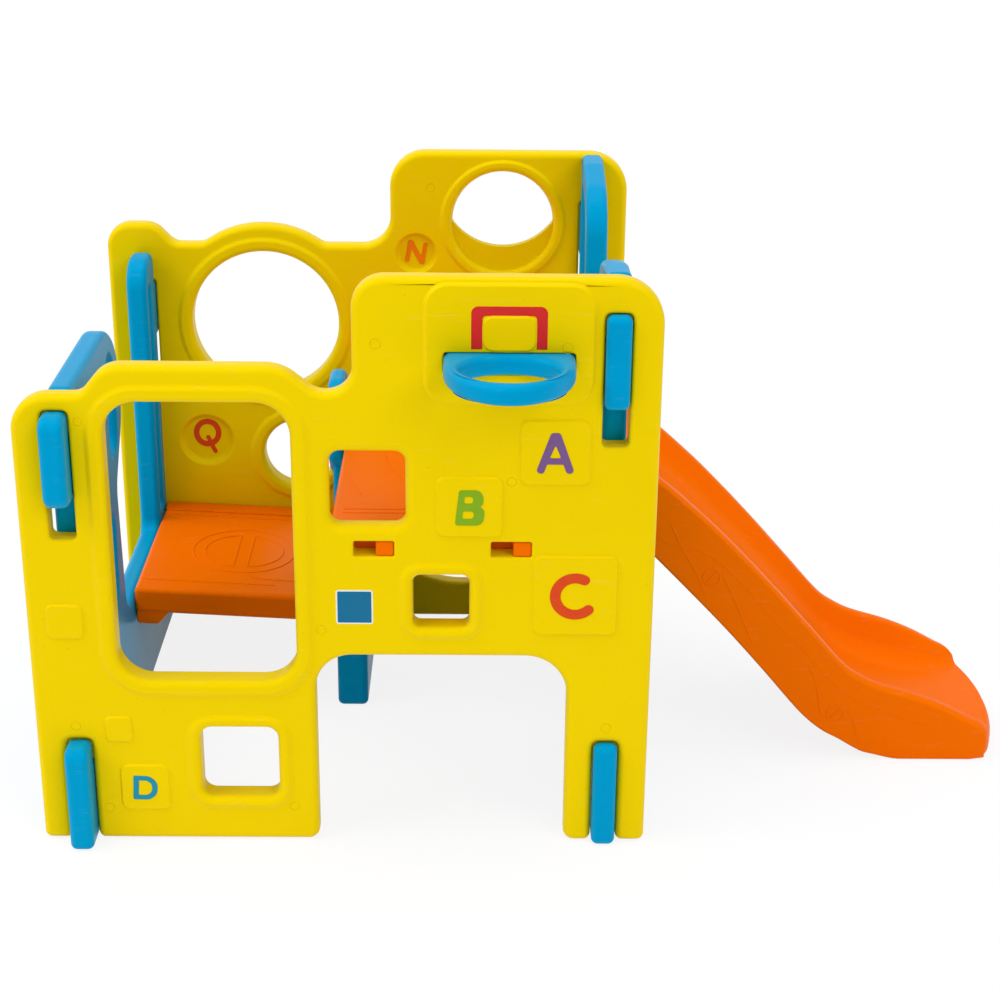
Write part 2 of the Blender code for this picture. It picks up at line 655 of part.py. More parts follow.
def make_climbing_side():
    middle = LEFT_BLUE + BLUE_THICK / 2
    body = WALL_THICK + SEAT_GAP
    back = 2 * MID_Y - body
    edge = hook_edge(LEFT_HOOK_BASE, HOOK_STAND)
    outline = rounded(edge + [
        (body, CLIMB_TOP, CLIMB_SILL_ROUND / 2),
        (CLIMB_BACK, CLIMB_TOP, CLIMB_SWEEP),
        (*CLIMB_NECK, CLIMB_NECK_ROUND),
        (*CLIMB_WAIST, CLIMB_WAIST_ROUND),
        (CLIMB_SILL_START, ENTRY_SILL, CLIMB_SILL_ROUND),
        (CLIMB_RAIL_FRONT, ENTRY_SILL, CLIMB_RAIL_FOOT),
        (CLIMB_RAIL_FRONT, CLIMB_RAIL_TOP, CLIMB_RAIL_ROUND),
        (back, CLIMB_RAIL_TOP, CLIMB_SILL_ROUND / 2),
    ] + mirrored(edge))
    grip_top = CLIMB_RAIL_TOP - CLIMB_RAIL_ROUND
    strip = back - CLIMB_RAIL_STRIP
    grip_front = CLIMB_RAIL_FRONT + CLIMB_RAIL_BAR
    grip = rounded([
        (strip, grip_top, CLIMB_GRIP_ROUND),
        (grip_front, grip_top, CLIMB_GRIP_ROUND),
        (grip_front, CLIMB_GRIP_LOW, CLIMB_GRIP_ROUND),
        (strip, CLIMB_GRIP_LOW, CLIMB_GRIP_ROUND),
    ])
    loops = [outline, rounded(HAND_HOLE), rounded(FOOT_HOLE), grip]
    panel = slab("climbing_side_panel", loops, BLUE_THICK, BLUE_RIM, "side", middle)
    inner_face = LEFT_BLUE + BLUE_THICK
    for i, y in enumerate(LOWER_LUGS):
        lug_socket(panel, f"climbing_side_socket_{i + 1}", inner_face, -1, y, LOWER_LUG_TOP + LOWER_DECK_FALL / 2)
    return panel


def make_slide_side():
    middle = RIGHT_BLUE + BLUE_THICK / 2
    body = WALL_THICK + SEAT_GAP
    edge = hook_edge(RIGHT_HOOK_BASE, SLIDE_HOOK_STAND)
    rise = WALL_HEIGHT - GATE_SILL

    def handrail(near, top):
        """Gate edge of a tower, running up from the sill."""
        return [
            (near, GATE_SILL, GATE_SILL_ROUND),
            (near - GATE_RAIL_BULGE, GATE_SILL + 0.27 * rise, 0.41 * rise),
            (near, GATE_SILL + 0.59 * rise, 0.31 * rise),
            (near - GATE_FOOT_ROUND / 2, GATE_SILL + 0.92 * rise, 0.22 * rise),
            (body + GATE_TOP_RUN, top, GATE_TOP_ROUND),
            (body, top - GATE_TOP_DROP, GATE_OUTER_ROUND),
        ]

    front_rail = handrail(GATE_FRONT, GATE_RAIL_TOP)
    rear_rail = [(2 * MID_Y - y, z, r) for y, z, r in handrail(2 * MID_Y - GATE_BACK, REAR_RAIL_TOP)]
    outline = rounded(edge + list(reversed(front_rail)) + rear_rail + mirrored(edge))
    strip = body + GRIP_STRIP

    def grip(near, flip):
        """Finger slot between the rail's bar and the strip along the wall."""
        edge_y = near - GRIP_BAR
        low = GATE_SILL + 0.113 * rise
        corners = [
            (strip, low, GATE_OUTER_ROUND),
            (edge_y - GATE_RAIL_BULGE, low, GATE_FOOT_ROUND),
            (edge_y - GATE_RAIL_BULGE, GATE_SILL + 0.27 * rise, 0.31 * rise),
            (edge_y, GATE_SILL + 0.59 * rise, 0.20 * rise),
            (edge_y - GATE_FOOT_ROUND, GATE_SILL + 0.826 * rise, 0.12 * rise),
            (strip, GATE_SILL + 0.897 * rise, GATE_OUTER_ROUND),
        ]
        if flip:
            corners = [(2 * MID_Y - y, z, r) for y, z, r in corners]
        return rounded(corners)

    grips = [grip(GATE_FRONT, False), grip(2 * MID_Y - GATE_BACK, True)]
    panel = slab("slide_side_panel", [outline] + grips, BLUE_THICK, BLUE_RIM, "side", middle)
    for i, y in enumerate(UPPER_LUGS):
        lug_socket(panel, f"slide_side_socket_{i + 1}", RIGHT_BLUE, 1, y, UPPER_LUG_TOP)
    return panel


def make_divider():
    body_back = WALL_BACK - SEAT_GAP
    middle = DIVIDER_X + DIVIDER_THICK / 2
    outline = rounded([
        (DIVIDER_FRONT, 0, BLUE_RIM + 0.001),
        (DIVIDER_FRONT, DIVIDER_LEDGE, 0.016),
        (body_back, DIVIDER_LEDGE, BLUE_RIM + 0.001),
        (body_back, 0, BLUE_RIM + 0.001),
    ])
    panel = slab("divider_panel", [outline], DIVIDER_THICK, BLUE_RIM, "side", middle)
    plate = rounded([
        (DIVIDER_HANDLE_FRONT, DIVIDER_LEDGE, 0.6 * DIVIDER_GRIP),
        (DIVIDER_HANDLE_FRONT, DIVIDER_TOP, 1.3 * DIVIDER_GRIP),
        (DIVIDER_HANDLE_BACK, DIVIDER_TOP, 1.4 * DIVIDER_GRIP),
        (DIVIDER_HANDLE_BACK + DIVIDER_GRIP / 2, DIVIDER_LEDGE, 0.6 * DIVIDER_GRIP),
        (DIVIDER_HANDLE_BACK, DIVIDER_LEDGE - DIVIDER_KNUCKLE, 0.45 * DIVIDER_KNUCKLE),
        (DIVIDER_FRONT + 0.7 * DIVIDER_KNUCKLE, DIVIDER_LEDGE - DIVIDER_KNUCKLE, 0.45 * DIVIDER_KNUCKLE),
    ])
    grip_low = DIVIDER_LEDGE + DIVIDER_GRIP_LOW
    grip_high = DIVIDER_TOP - DIVIDER_GRIP
    grip_front = DIVIDER_HANDLE_FRONT + DIVIDER_GRIP
    grip_back = DIVIDER_HANDLE_BACK - DIVIDER_GRIP
    finger = rounded([
        (grip_front, grip_low, DIVIDER_GRIP / 2),
        (grip_front, grip_high, DIVIDER_GRIP / 2),
        (grip_back, grip_high, DIVIDER_GRIP / 2),
        (grip_back, grip_low, DIVIDER_GRIP / 2),
    ])
    handle = slab_tool("divider_handle", [plate, finger], DIVIDER_HANDLE_THICK, BLUE_RIM, "side",
                       HANDLE_LEFT + DIVIDER_HANDLE_THICK / 2)
    join(panel, handle)
    for i, y in enumerate(LOWER_LUGS):
        lug_socket(panel, f"divider_socket_{i + 1}", DIVIDER_X, 1, y, LOWER_LUG_TOP - LOWER_DECK_FALL / 2)
    return panel


# Orange decks


def lug(deck, name, face, outward, y, top):
    inner = face - outward * LUG_ROOT
    outer = face + outward * LUG_REACH
    near, far = sorted((inner, outer))
    join(deck, block(name, (near, y - LUG_WIDTH / 2, top - LUG_HEIGHT), (far, y + LUG_WIDTH / 2, top)))


def wall_tab(deck, name, left, low_y, high_y, top):
    """Tab from a deck's edge that fills the right part of its slot."""
    box = (left, top - TAB_SLOT_HEIGHT + DECK_PLAY, left + TAB_WIDTH, top - DECK_PLAY)
    outline = rounded(box_outline(box, TAB_CORNER))
    join(deck, slab_tool(name, [outline], high_y - low_y, 0.0, "wall", (low_y + high_y) / 2))


def tab_left(slot_left):
    return slot_left + TAB_SLOT_WIDTH - TAB_WIDTH - DECK_PLAY


def make_upper_deck():
    thick = UPPER_DECK_THICK
    front = WALL_THICK + SEAT_GAP
    back = WALL_BACK - SEAT_GAP
    outline = rounded(box_outline((DECK_LEFT, front, DECK_RIGHT, back), DECK_CORNER))
    deck = slab("upper_deck", [outline], thick, DECK_RIM, "floor", UPPER_DECK_Z - thick / 2)
    for i, left in enumerate(TAB_SLOT_LEFT):
        x = tab_left(left)
        wall_tab(deck, f"upper_front_tab_{i + 1}", x, TAB_INSET, front + LUG_ROOT, UPPER_DECK_Z)
        wall_tab(deck, f"upper_rear_tab_{i + 1}", x, back - LUG_ROOT, REAR_FACE - TAB_INSET, UPPER_DECK_Z)
    for i, y in enumerate(UPPER_LUGS):
        lug(deck, f"upper_lug_{i + 1}", RIGHT_BLUE, 1, y, UPPER_LUG_TOP)
    return deck


def end_pad(deck, name, end, inward, bottom):
    """Deeper strip under one end of the lower deck, with a slanted inner side."""
    near = end + inward * END_PAD_INSET
    far = end + inward * END_PAD_WIDTH
    root = bottom + DECK_RIM
    outline = [(near, root), (near, bottom - END_PAD_DEPTH), (far, bottom - END_PAD_DEPTH),
               (far + inward * END_PAD_CHAMFER, bottom), (far + inward * END_PAD_CHAMFER, root)]
    low_y = LOWER_DECK_FRONT + END_PAD_INSET
    high_y = WALL_BACK - SEAT_GAP - END_PAD_INSET
    join(deck, slab_tool(name, [outline], high_y - low_y, 0.0, "wall", (low_y + high_y) / 2))


def make_lower_deck():
    thick = LOWER_DECK_THICK
    left = LEFT_BLUE + BLUE_THICK + SEAT_GAP
    right = DIVIDER_X - SEAT_GAP
    back = WALL_BACK - SEAT_GAP
    outline = rounded(box_outline((left, LOWER_DECK_FRONT, right, back), DECK_CORNER))
    deck = slab("lower_deck", [outline], thick, DECK_RIM, "floor", LOWER_DECK_Z - thick / 2)
    for vertex in deck.data.vertices:
        vertex.co.z -= LOWER_DECK_FALL * ((vertex.co.x - left) / (right - left) - 0.5)
    drop = LOWER_DECK_FALL / 2
    end_pad(deck, "lower_left_pad", left, 1, LOWER_DECK_Z - thick + drop)
    end_pad(deck, "lower_right_pad", right, -1, LOWER_DECK_Z - thick - drop)
    for i, y in enumerate(LOWER_LUGS):
        lug(deck, f"lower_left_lug_{i + 1}", left, -1, y, LOWER_LUG_TOP + drop)
        lug(deck, f"lower_right_lug_{i + 1}", right, 1, y, LOWER_LUG_TOP - drop)
    return deck


# Slide


def smooth_through(points, x):
    """Cubic Hermite curve through hand-chosen points, read at x."""
    for i in range(len(points) - 1):
        x0, y0 = points[i]
        x1, y1 = points[i + 1]
        if x <= x1 or i == len(points) - 2:
            break
    xa, ya = points[max(i - 1, 0)]
    xb, yb = points[min(i + 2, len(points) - 1)]
    m0 = (y1 - ya) / (x1 - xa)
    m1 = (yb - y0) / (xb - x0)
    span = x1 - x0
    t = (x - x0) / span
    return ((2 * t ** 3 - 3 * t ** 2 + 1) * y0 + (t ** 3 - 2 * t ** 2 + t) * span * m0
            + (3 * t ** 2 - 2 * t ** 3) * y1 + (t ** 3 - t ** 2) * span * m1)


def slide_section(rail, bed, under, half):
    """Closed loop across the slide: floor, side, rolled rail and trough."""
    edge = RAIL_EDGE
    rail = max(rail, bed + 0.15 * edge)
    depth = rail - bed
    inner = half - RAIL_WIDTH
    right = [
        (0, under),
        (half - edge, under),
        (half - 0.3 * edge, under + 0.3 * edge),
        (half, under + edge),
        (half, rail - edge),
        (half - 0.3 * edge, rail - 0.3 * edge),
        (half - edge, rail),
        (inner + 0.07 * TROUGH_ROUND, rail - 0.10 * depth),
        (inner - 0.07 * TROUGH_ROUND, rail - 0.35 * depth),
        (inner - 0.27 * TROUGH_ROUND, bed + 0.22 * depth),
        (inner - 0.57 * TROUGH_ROUND, bed + 0.05 * depth),
        (inner - TROUGH_ROUND, bed),
    ]
    left = [(-y, z) for y, z in reversed(right[1:])]
    return right + [(0, bed)] + left


def slide_loops():
    """Cross sections from the tongue behind the sill to the rounded nose."""
    deck = UPPER_DECK_Z
    half = SLIDE_WIDTH / 2
    tongue_low = deck - TONGUE_DROP
    sill_top = GATE_SILL + SEAT_GAP
    stations = [
        (RIGHT_BLUE - HOOK_LIP - SEAT_GAP, tongue_low),
        (RIGHT_BLUE - 1.5 * SEAT_GAP, tongue_low),
        (RIGHT_BLUE - SEAT_GAP, sill_top),
        (SLIDE_HEAD + SEAT_GAP, sill_top),
    ]
    for i in range(SLIDE_STATIONS):
        share = 0.0005 + i / SLIDE_STATIONS
        x = SLIDE_HEAD + 2 * SEAT_GAP + share * (SLIDE_RUN - 2 * SEAT_GAP)
        stations.append((x, max(0.0, smooth_through(UNDER_LINE, share) * deck)))
    loops = []
    for x, under in stations:
        share = (x - SLIDE_HEAD) / SLIDE_RUN
        rail = smooth_through(RAIL_LINE, share) * deck
        bed = smooth_through(BED_LINE, share) * deck
        loops.append((x, slide_section(rail, bed, under, half)))
    middle = BED_LINE[-1][1] * deck / 2
    for i in range(1, NOSE_STEPS + 1):
        angle = math.pi / 2 * i / NOSE_STEPS
        thick = middle * (0.45 + 0.55 * math.cos(angle))
        nose_half = half - NOSE_RADIUS * (1 - math.cos(angle))
        section = slide_section(middle + thick, middle + thick, middle - thick, nose_half)
        loops.append((SLIDE_END - NOSE_RADIUS * (1 - math.sin(angle)), section))
    return loops


def make_slide():
    mesh = bpy.data.meshes.new("slide")
    shell = bmesh.new()
    rings = []
    for x, section in slide_loops():
        share = (x - SLIDE_HEAD) / SLIDE_RUN
        bow = NOSE_BOW * max(0.0, (share - 0.80) / 0.20) ** 1.5
        ring = []
        for y, z in section:
            ring.append(shell.verts.new((x - bow * (2 * y / SLIDE_WIDTH) ** 2, SLIDE_CENTRE + y, z)))
        rings.append(ring)
    for near, far in zip(rings, rings[1:]):
        for i in range(len(near)):
            j = (i + 1) % len(near)
            shell.faces.new((near[i], near[j], far[j], far[i]))
    shell.faces.new(rings[0])
    shell.faces.new(rings[-1])
    bmesh.ops.recalc_face_normals(shell, faces=shell.faces)
    shell.to_mesh(mesh)
    shell.free()
    obj = bpy.data.objects.new("slide", mesh)
    bpy.data.collections[PARTS].objects.link(obj)
    return obj


# Hoop


def make_hoop():
    half = HOOP_WIDTH / 2
    front_run = HOOP_REACH - HOOP_SIDE_RUN
    turns = [math.pi * i / HOOP_STEPS for i in range(HOOP_STEPS + 1)]
    outer = [(HOOP_CENTRE_X + half * math.cos(a), -HOOP_SIDE_RUN - front_run * math.sin(a)) for a in turns]
    outer += [(HOOP_CENTRE_X - half, HOOP_TONGUE), (HOOP_CENTRE_X + half, HOOP_TONGUE)]
    bore_depth = HOOP_REACH - HOOP_BAR - HOOP_BACK_BAR
    bore_y = -HOOP_BACK_BAR - bore_depth / 2
    bore_half = half - HOOP_BAR
    turns = [2 * math.pi * i / CIRCLE_FACETS for i in range(CIRCLE_FACETS)]
    inner = [(HOOP_CENTRE_X + bore_half * math.cos(a), bore_y + bore_depth / 2 * math.sin(a)) for a in turns]
    return slab("basketball_hoop", [outer, inner], HOOP_THICK, HOOP_RIM, "floor", HOOP_TOP - HOOP_THICK / 2)


def main():
    clear_scene()
    yellow = plastic("yellow_plastic", YELLOW)
    blue = plastic("blue_plastic", BLUE)
    orange = plastic("orange_plastic", ORANGE)
    pieces = (
        (make_front_wall(), yellow),
        (make_rear_wall(), yellow),
        (make_climbing_side(), blue),
        (make_slide_side(), blue),
        (make_divider(), blue),
        (make_upper_deck(), orange),
        (make_lower_deck(), orange),
        (make_slide(), orange),
        (make_hoop(), blue),
    )
    datum = bpy.data.objects.new("playset_datum", None)
    bpy.data.collections[PARTS].objects.link(datum)
    datum.location = (-CENTRE_X, -CENTRE_Y, 0)
    for obj, material in pieces:
        obj.data.materials.clear()
        obj.data.materials.append(material)
        obj.data.shade_smooth()
        obj.data.set_sharp_from_angle(angle=math.radians(35))
        obj.parent = datum
    for tool in bpy.data.collections[CUTTERS].objects:
        tool.parent = datum


main()
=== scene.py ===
"""Looks of the climbing playset.

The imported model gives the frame. Every moulding is made again here with soft
rims, raised frames, letter blocks, seams and moulding marks, on the sizes of
the CAD source, and each one replaces its node. Panels are built from closed
outlines: rings of points run from the seam round each rim onto the flat
faces, and the flats between the rings are filled.

Units are metres. Outlines are written from the left edge and front face of
the front wall, and every point moves by SHIFT into the frame's coordinates.
"""

import math

import bmesh
import bpy
from mathutils import Matrix, Vector
from mathutils.geometry import tessellate_polygon


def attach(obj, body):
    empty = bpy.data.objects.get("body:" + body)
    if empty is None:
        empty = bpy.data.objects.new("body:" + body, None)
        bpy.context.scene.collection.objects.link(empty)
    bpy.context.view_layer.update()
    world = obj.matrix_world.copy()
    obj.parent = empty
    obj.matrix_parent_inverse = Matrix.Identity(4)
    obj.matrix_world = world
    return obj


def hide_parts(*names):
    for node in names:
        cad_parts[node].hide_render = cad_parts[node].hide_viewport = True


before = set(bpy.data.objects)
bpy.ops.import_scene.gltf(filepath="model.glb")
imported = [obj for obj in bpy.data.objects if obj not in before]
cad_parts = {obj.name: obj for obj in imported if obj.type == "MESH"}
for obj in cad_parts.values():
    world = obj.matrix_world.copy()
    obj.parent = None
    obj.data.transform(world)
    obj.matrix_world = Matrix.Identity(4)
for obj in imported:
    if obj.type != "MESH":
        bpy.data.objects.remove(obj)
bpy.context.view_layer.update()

# Sizes shared with the CAD source
WALL_WIDTH = 1.0885
WALL_HEIGHT = 1.060
WALL_THICK = 0.042
BAY_DEPTH = 0.905
BLUE_THICK = 0.0425
BLUE_INSET = 0.0538
UPPER_DECK_Z = 0.5925
LOWER_DECK_Z = 0.267
LOWER_DECK_FALL = 0.020
SLIDE_RUN = 0.788
HOOP_REACH = 0.174
SEAT_GAP = 0.0004
SLOT_PLAY = 0.0015
HOOK_STAND = 0.042
SLIDE_HOOK_STAND = 0.015
HOOK_HEIGHT = 0.164
HOOK_LAP = 0.040
FOOT_HOOK_HEIGHT = 0.203
POCKET_DEPTH = 0.016
SLOT_DROP = 0.068
FOOT_LIFT = 0.0015
SHOULDER_Z = 0.853
LEFT_HOOK_BASE = SHOULDER_Z - 0.193
RIGHT_HOOK_BASE = WALL_HEIGHT - 0.224
WALL_BACK = WALL_THICK + BAY_DEPTH
REAR_FACE = WALL_BACK + WALL_THICK
MID_Y = REAR_FACE / 2
LEFT_BLUE = BLUE_INSET
RIGHT_BLUE = WALL_WIDTH - BLUE_INSET - BLUE_THICK
SLIDE_HEAD = RIGHT_BLUE + BLUE_THICK
SLIDE_END = SLIDE_HEAD + SLIDE_RUN
SLIDE_CENTRE = MID_Y - 0.0045
SLIDE_WIDTH = 0.3704
SHIFT = Vector((-SLIDE_END / 2, -(REAR_FACE + HOOK_STAND - HOOP_REACH) / 2, 0))

# Moulded edges
WALL_RIM = 0.0125
BLUE_RIM = 0.012
SLOT_RIM = 0.006
SEAM = 0.00035
ARC = math.radians(6)
RIM_STEPS = 7

# Colours, linear
YELLOW = (0.848, 0.622, 0.0)
BLUE = (0.0, 0.315, 0.60)
ORANGE = (0.885, 0.158, 0.0)
RED = (0.66, 0.020, 0.018)


# Camera, from the walls' edges in the photograph

PITCH = math.radians(22.166)
YAW = math.radians(0.638)
ROLL = math.radians(0.627)
CAMERA_PLACE = Vector((0.7857, -3.1107, 1.9393))


def make_camera():
    data = bpy.data.cameras.new("photo_camera")
    data.sensor_width = 36
    data.lens = 71.345
    camera = bpy.data.objects.new("photo_camera", data)
    bpy.context.scene.collection.objects.link(camera)
    ahead = Vector((math.sin(YAW) * math.cos(PITCH), math.cos(YAW) * math.cos(PITCH), -math.sin(PITCH)))
    level = Vector((math.cos(YAW), -math.sin(YAW), 0))
    above = level.cross(ahead)
    right = math.cos(ROLL) * level + math.sin(ROLL) * above
    up = math.cos(ROLL) * above - math.sin(ROLL) * level
    turn = Matrix((right, up, -ahead)).transposed().to_4x4()
    camera.matrix_world = Matrix.Translation(CAMERA_PLACE + SHIFT) @ turn
    bpy.context.scene.camera = camera


# Outlines


def rounded(corners, step=ARC):
    """Turn corners (a, b, radius) into a loop of points with true arcs."""
    points = []
    count = len(corners)
    for i, (a, b, radius) in enumerate(corners):
        here = Vector((a, b))
        to_last = (Vector(corners[i - 1][:2]) - here).normalized()
        to_next = (Vector(corners[(i + 1) % count][:2]) - here).normalized()
        turn = math.pi - to_last.angle(to_next)
        if radius <= 0 or turn < 0.01:
            points.append(here)
            continue
        reach = radius * math.tan(turn / 2)
        centre = here + (to_last + to_next).normalized() * (radius / math.cos(turn / 2))
        start = here + to_last * reach - centre
        side = 1 if to_last.cross(to_next) < 0 else -1
        steps = max(2, round(turn / step))
        for k in range(steps + 1):
            spoke = start.copy()
            spoke.rotate(Matrix.Rotation(side * turn * k / steps, 2))
            points.append(centre + spoke)
    kept = [p for i, p in enumerate(points) if (p - points[i - 1]).length > 0.00002]
    return anticlockwise(kept)


def anticlockwise(loop):
    area = sum(loop[i - 1].cross(loop[i]) for i in range(len(loop)))
    return loop if area > 0 else loop[::-1]


def box(left, low, right, high, radius, grow=0.0):
    radius = radius + grow
    return rounded([(left - grow, low - grow, radius), (right + grow, low - grow, radius),
                    (right + grow, high + grow, radius), (left - grow, high + grow, radius)])


def circle(a, b, radius, facets=64):
    turns = [2 * math.pi * i / facets for i in range(facets)]
    return [Vector((a + radius * math.cos(t), b + radius * math.sin(t))) for t in turns]


def grown(loop, grow):
    """The loop moved outwards by a margin, point for point."""
    moved = []
    for i, here in enumerate(loop):
        before = (here - loop[i - 1]).normalized()
        after = (loop[(i + 1) % len(loop)] - here).normalized()
        normal = Vector((before.y + after.y, -before.x - after.x))
        spread = max(0.25, 1 + before.dot(after))
        moved.append(here + normal * (grow / spread))
    return moved


def quarter(radius, steps=RIM_STEPS):
    """Quarter round as (distance into the material, drop from the top)."""
    turns = [math.pi / 2 * i / steps for i in range(steps + 1)]
    return [(radius * (1 - math.cos(t)), radius * (1 - math.sin(t))) for t in turns]


class Moulding:
    """A flat panel under construction, built ring by ring."""

    def __init__(self, facing, level):
        self.facing = facing
        self.level = level
        self.points = []
        self.faces = []

    def at(self, a, b, height):
        if self.facing == "wall":
            return (a, self.level - height, b)
        if self.facing == "side":
            return (self.level + height, a, b)
        return (a, b, self.level + height)

    def ring(self, loop, height):
        first = len(self.points)
        self.points += [self.at(a, b, height) for a, b in loop]
        return list(range(first, len(self.points)))

    def rings(self, loop, profile):
        """Bands along a profile of (grow, height); returns the last ring."""
        last = None
        for grow, height in profile:
            ring = self.ring(grown(loop, grow), height)
            if last:
                for i in range(len(ring)):
                    self.faces.append((last[i - 1], last[i], ring[i], ring[i - 1]))
            last = ring
        return last

    def fill(self, rings):
        """Close the flat between an outer ring and the rings inside it."""
        order = [i for ring in rings for i in ring]
        loops = [[Vector(self.points[i]) for i in ring] for ring in rings]
        for corners in tessellate_polygon(loops):
            self.faces.append(tuple(order[i] for i in corners))

    def side(self, loop, into, front, back, rim, seam=SEAM):
        """Seam and rounded rims of an outline (into = -1) or an opening (into = 1)."""
        ends = []
        for top, sign in ((front, 1), (back, -1)):
            profile = [(into * seam, 0), (0, sign * 3 * seam)]
            profile += [(into * d, sign * (top - drop)) for d, drop in quarter(rim)]
            ends.append(self.rings(loop, profile))
        return ends

    def stepped(self, mouth, loop, into, half, rim, sign):
        """Edge that is wider on one face down to a pocket's floor; returns its front and back rings."""
        floor = half - POCKET_DEPTH
        rows = [(mouth, into * d, half - drop) for d, drop in reversed(quarter(rim))]
        rows += [(mouth, 0, floor), (loop, 0, floor), (loop, 0, 3 * SEAM),
                 (loop, into * SEAM, 0), (loop, 0, -3 * SEAM)]
        rows += [(loop, into * d, drop - half) for d, drop in quarter(rim)]
        first = last = None
        for corners, grow, height in rows:
            ring = self.ring(grown(corners, grow), sign * height)
            if last:
                for i in range(len(ring)):
                    self.faces.append((last[i - 1], last[i], ring[i], ring[i - 1]))
            first = first or ring
            last = ring
        return (first, last) if sign > 0 else (last, first)

    def pad(self, loop, face, rise, soft):
        """Raised block; returns the ring of its foot and the ring of its top."""
        sign = 1 if face > 0 else -1
        return self.raised(loop, [(d, face + sign * height) for d, height in swell(soft, rise)])

    def raised(self, loop, profile):
        first = len(self.points)
        top = self.rings(loop, profile)
        return list(range(first, first + len(loop))), top

    def frame(self, loop, face, rise, width, roll=0.012, soft=0.006, end=None):
        """Soft bead round an opening that rolls into it; returns its outer ring and its inner ring."""
        sign = 1 if face > 0 else -1
        profile = [(width + d, face + sign * height) for d, height in swell(soft, rise)]
        profile += [(d, face + sign * (rise - drop)) for d, drop in reversed(quarter(roll))]
        profile += end or [(0, sign * 3 * SEAM), (SEAM, 0)]
        return self.raised(loop, profile)

    def cup(self, centre, radius, face, depth):
        """Round dish sunk in a face; returns its mouth ring and floor ring."""
        sign = 1 if face > 0 else -1
        slope = 0.12 * radius
        profile = [(d - slope, face - sign * height) for d, height in swell(slope, depth, 12)]
        return self.raised(circle(*centre, radius, 72), profile)

    def mark(self, centre, face, radius=0.0085, depth=0.0008):
        """Ring that an ejector pin leaves."""
        sign = 1 if face > 0 else -1
        profile = [(0.0007, face), (0.0002, face - sign * depth), (-0.0002, face - sign * depth), (-0.0007, face)]
        foot, top = self.raised(circle(*centre, radius, 36), profile)
        self.fill([top])
        return foot

    def piece(self, name, material, sharp=38):
        mesh = bpy.data.meshes.new(name)
        mesh.from_pydata([Vector(p) + SHIFT for p in self.points], [], self.faces)
        return finished(name, mesh, material, sharp)


def swell(spread, rise, steps=8):
    """Soft step up as (distance outwards, height)."""
    shares = [i / steps for i in range(steps + 1)]
    return [(spread * (1 - 2 * s), rise * (1 - math.cos(math.pi * s)) / 2) for s in shares]


def finished(name, mesh, material, sharp=38):
    """Weld, turn normals out, shade and link a mesh."""
    weld = bmesh.new()
    weld.from_mesh(mesh)
    bmesh.ops.remove_doubles(weld, verts=weld.verts, dist=0.000002)
    bmesh.ops.dissolve_degenerate(weld, edges=weld.edges, dist=0.000002)
    bmesh.ops.recalc_face_normals(weld, faces=weld.faces)
    weld.to_mesh(mesh)
    weld.free()
    mesh.materials.append(material)
    obj = bpy.data.objects.new(name, mesh)
    bpy.context.scene.collection.objects.link(obj)
    mesh.shade_smooth()
    mesh.set_sharp_from_angle(angle=math.radians(sharp))
    flats = obj.modifiers.new("flat_faces", "WEIGHTED_NORMAL")
    flats.keep_sharp = True
    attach(obj, "root")
    return obj


# Materials


class Value:
    """One number in a material. Arithmetic on it adds Math nodes."""

    def __init__(self, tree, socket):
        self.tree = tree
        self.socket = socket

    def maths(self, operation, first, second):
        node = self.tree.nodes.new("ShaderNodeMath")
        node.operation = operation
        feed(self.tree, node.inputs[0], first)
        feed(self.tree, node.inputs[1], second)
        return Value(self.tree, node.outputs[0])

    def __add__(self, other):
        return self.maths("ADD", self, other)

    def __radd__(self, other):
        return self.maths("ADD", other, self)

    def __sub__(self, other):
        return self.maths("SUBTRACT", self, other)

    def __rsub__(self, other):
        return self.maths("SUBTRACT", other, self)

    def __mul__(self, other):
        return self.maths("MULTIPLY", self, other)

    def __rmul__(self, other):
        return self.maths("MULTIPLY", other, self)


def feed(tree, socket, value):
    if isinstance(value, Value):
        tree.links.new(value.socket, socket)
    else:
        socket.default_value = value


class Finish:
    """A material under construction."""

    def __init__(self, name, roughness, **constants):
        self.material = bpy.data.materials.new(name)
        self.material.use_nodes = True
        self.tree = self.material.node_tree
        self.shader = self.tree.nodes["Principled BSDF"]
        self.shader.inputs["Roughness"].default_value = roughness
        for socket, value in constants.items():
            self.shader.inputs[socket.replace("_", " ")].default_value = value

    def node(self, kind, settings=None, inputs=None, output=0):
        """Any node: its type, its settings, what its sockets get."""
        node = self.tree.nodes.new("ShaderNode" + kind)
        for key, value in (settings or {}).items():
            if key == "stops":
                for stop, (place, level) in zip(node.color_ramp.elements, value):
                    stop.position = place
                    stop.color = (level, level, level, 1)
            else:
                setattr(node, key, value)
        for key, value in (inputs or {}).items():
            feed(self.tree, node.inputs[key], value)
        return Value(self.tree, node.outputs[output])

    def noise(self, place, scale, detail=2.0):
        return self.node("TexNoise", None, {"Vector": place, "Scale": scale, "Detail": detail})

    def ramp(self, value, low, high):
        return self.node("ValToRGB", {"stops": ((low, 0), (high, 1))}, {"Fac": value})

    def blend(self, factor, first, second):
        """Colour between two colours."""
        node = self.tree.nodes.new("ShaderNodeMix")
        node.data_type = "RGBA"
        feed(self.tree, node.inputs[0], factor)
        for socket, colour in ((node.inputs[6], first), (node.inputs[7], second)):
            feed(self.tree, socket, colour if isinstance(colour, Value) else (*colour, 1.0))
        return Value(self.tree, node.outputs[2])

    def show(self, socket, value):
        feed(self.tree, self.shader.inputs[socket], value)


def shade(colour, factor):
    return tuple(channel * factor for channel in colour)


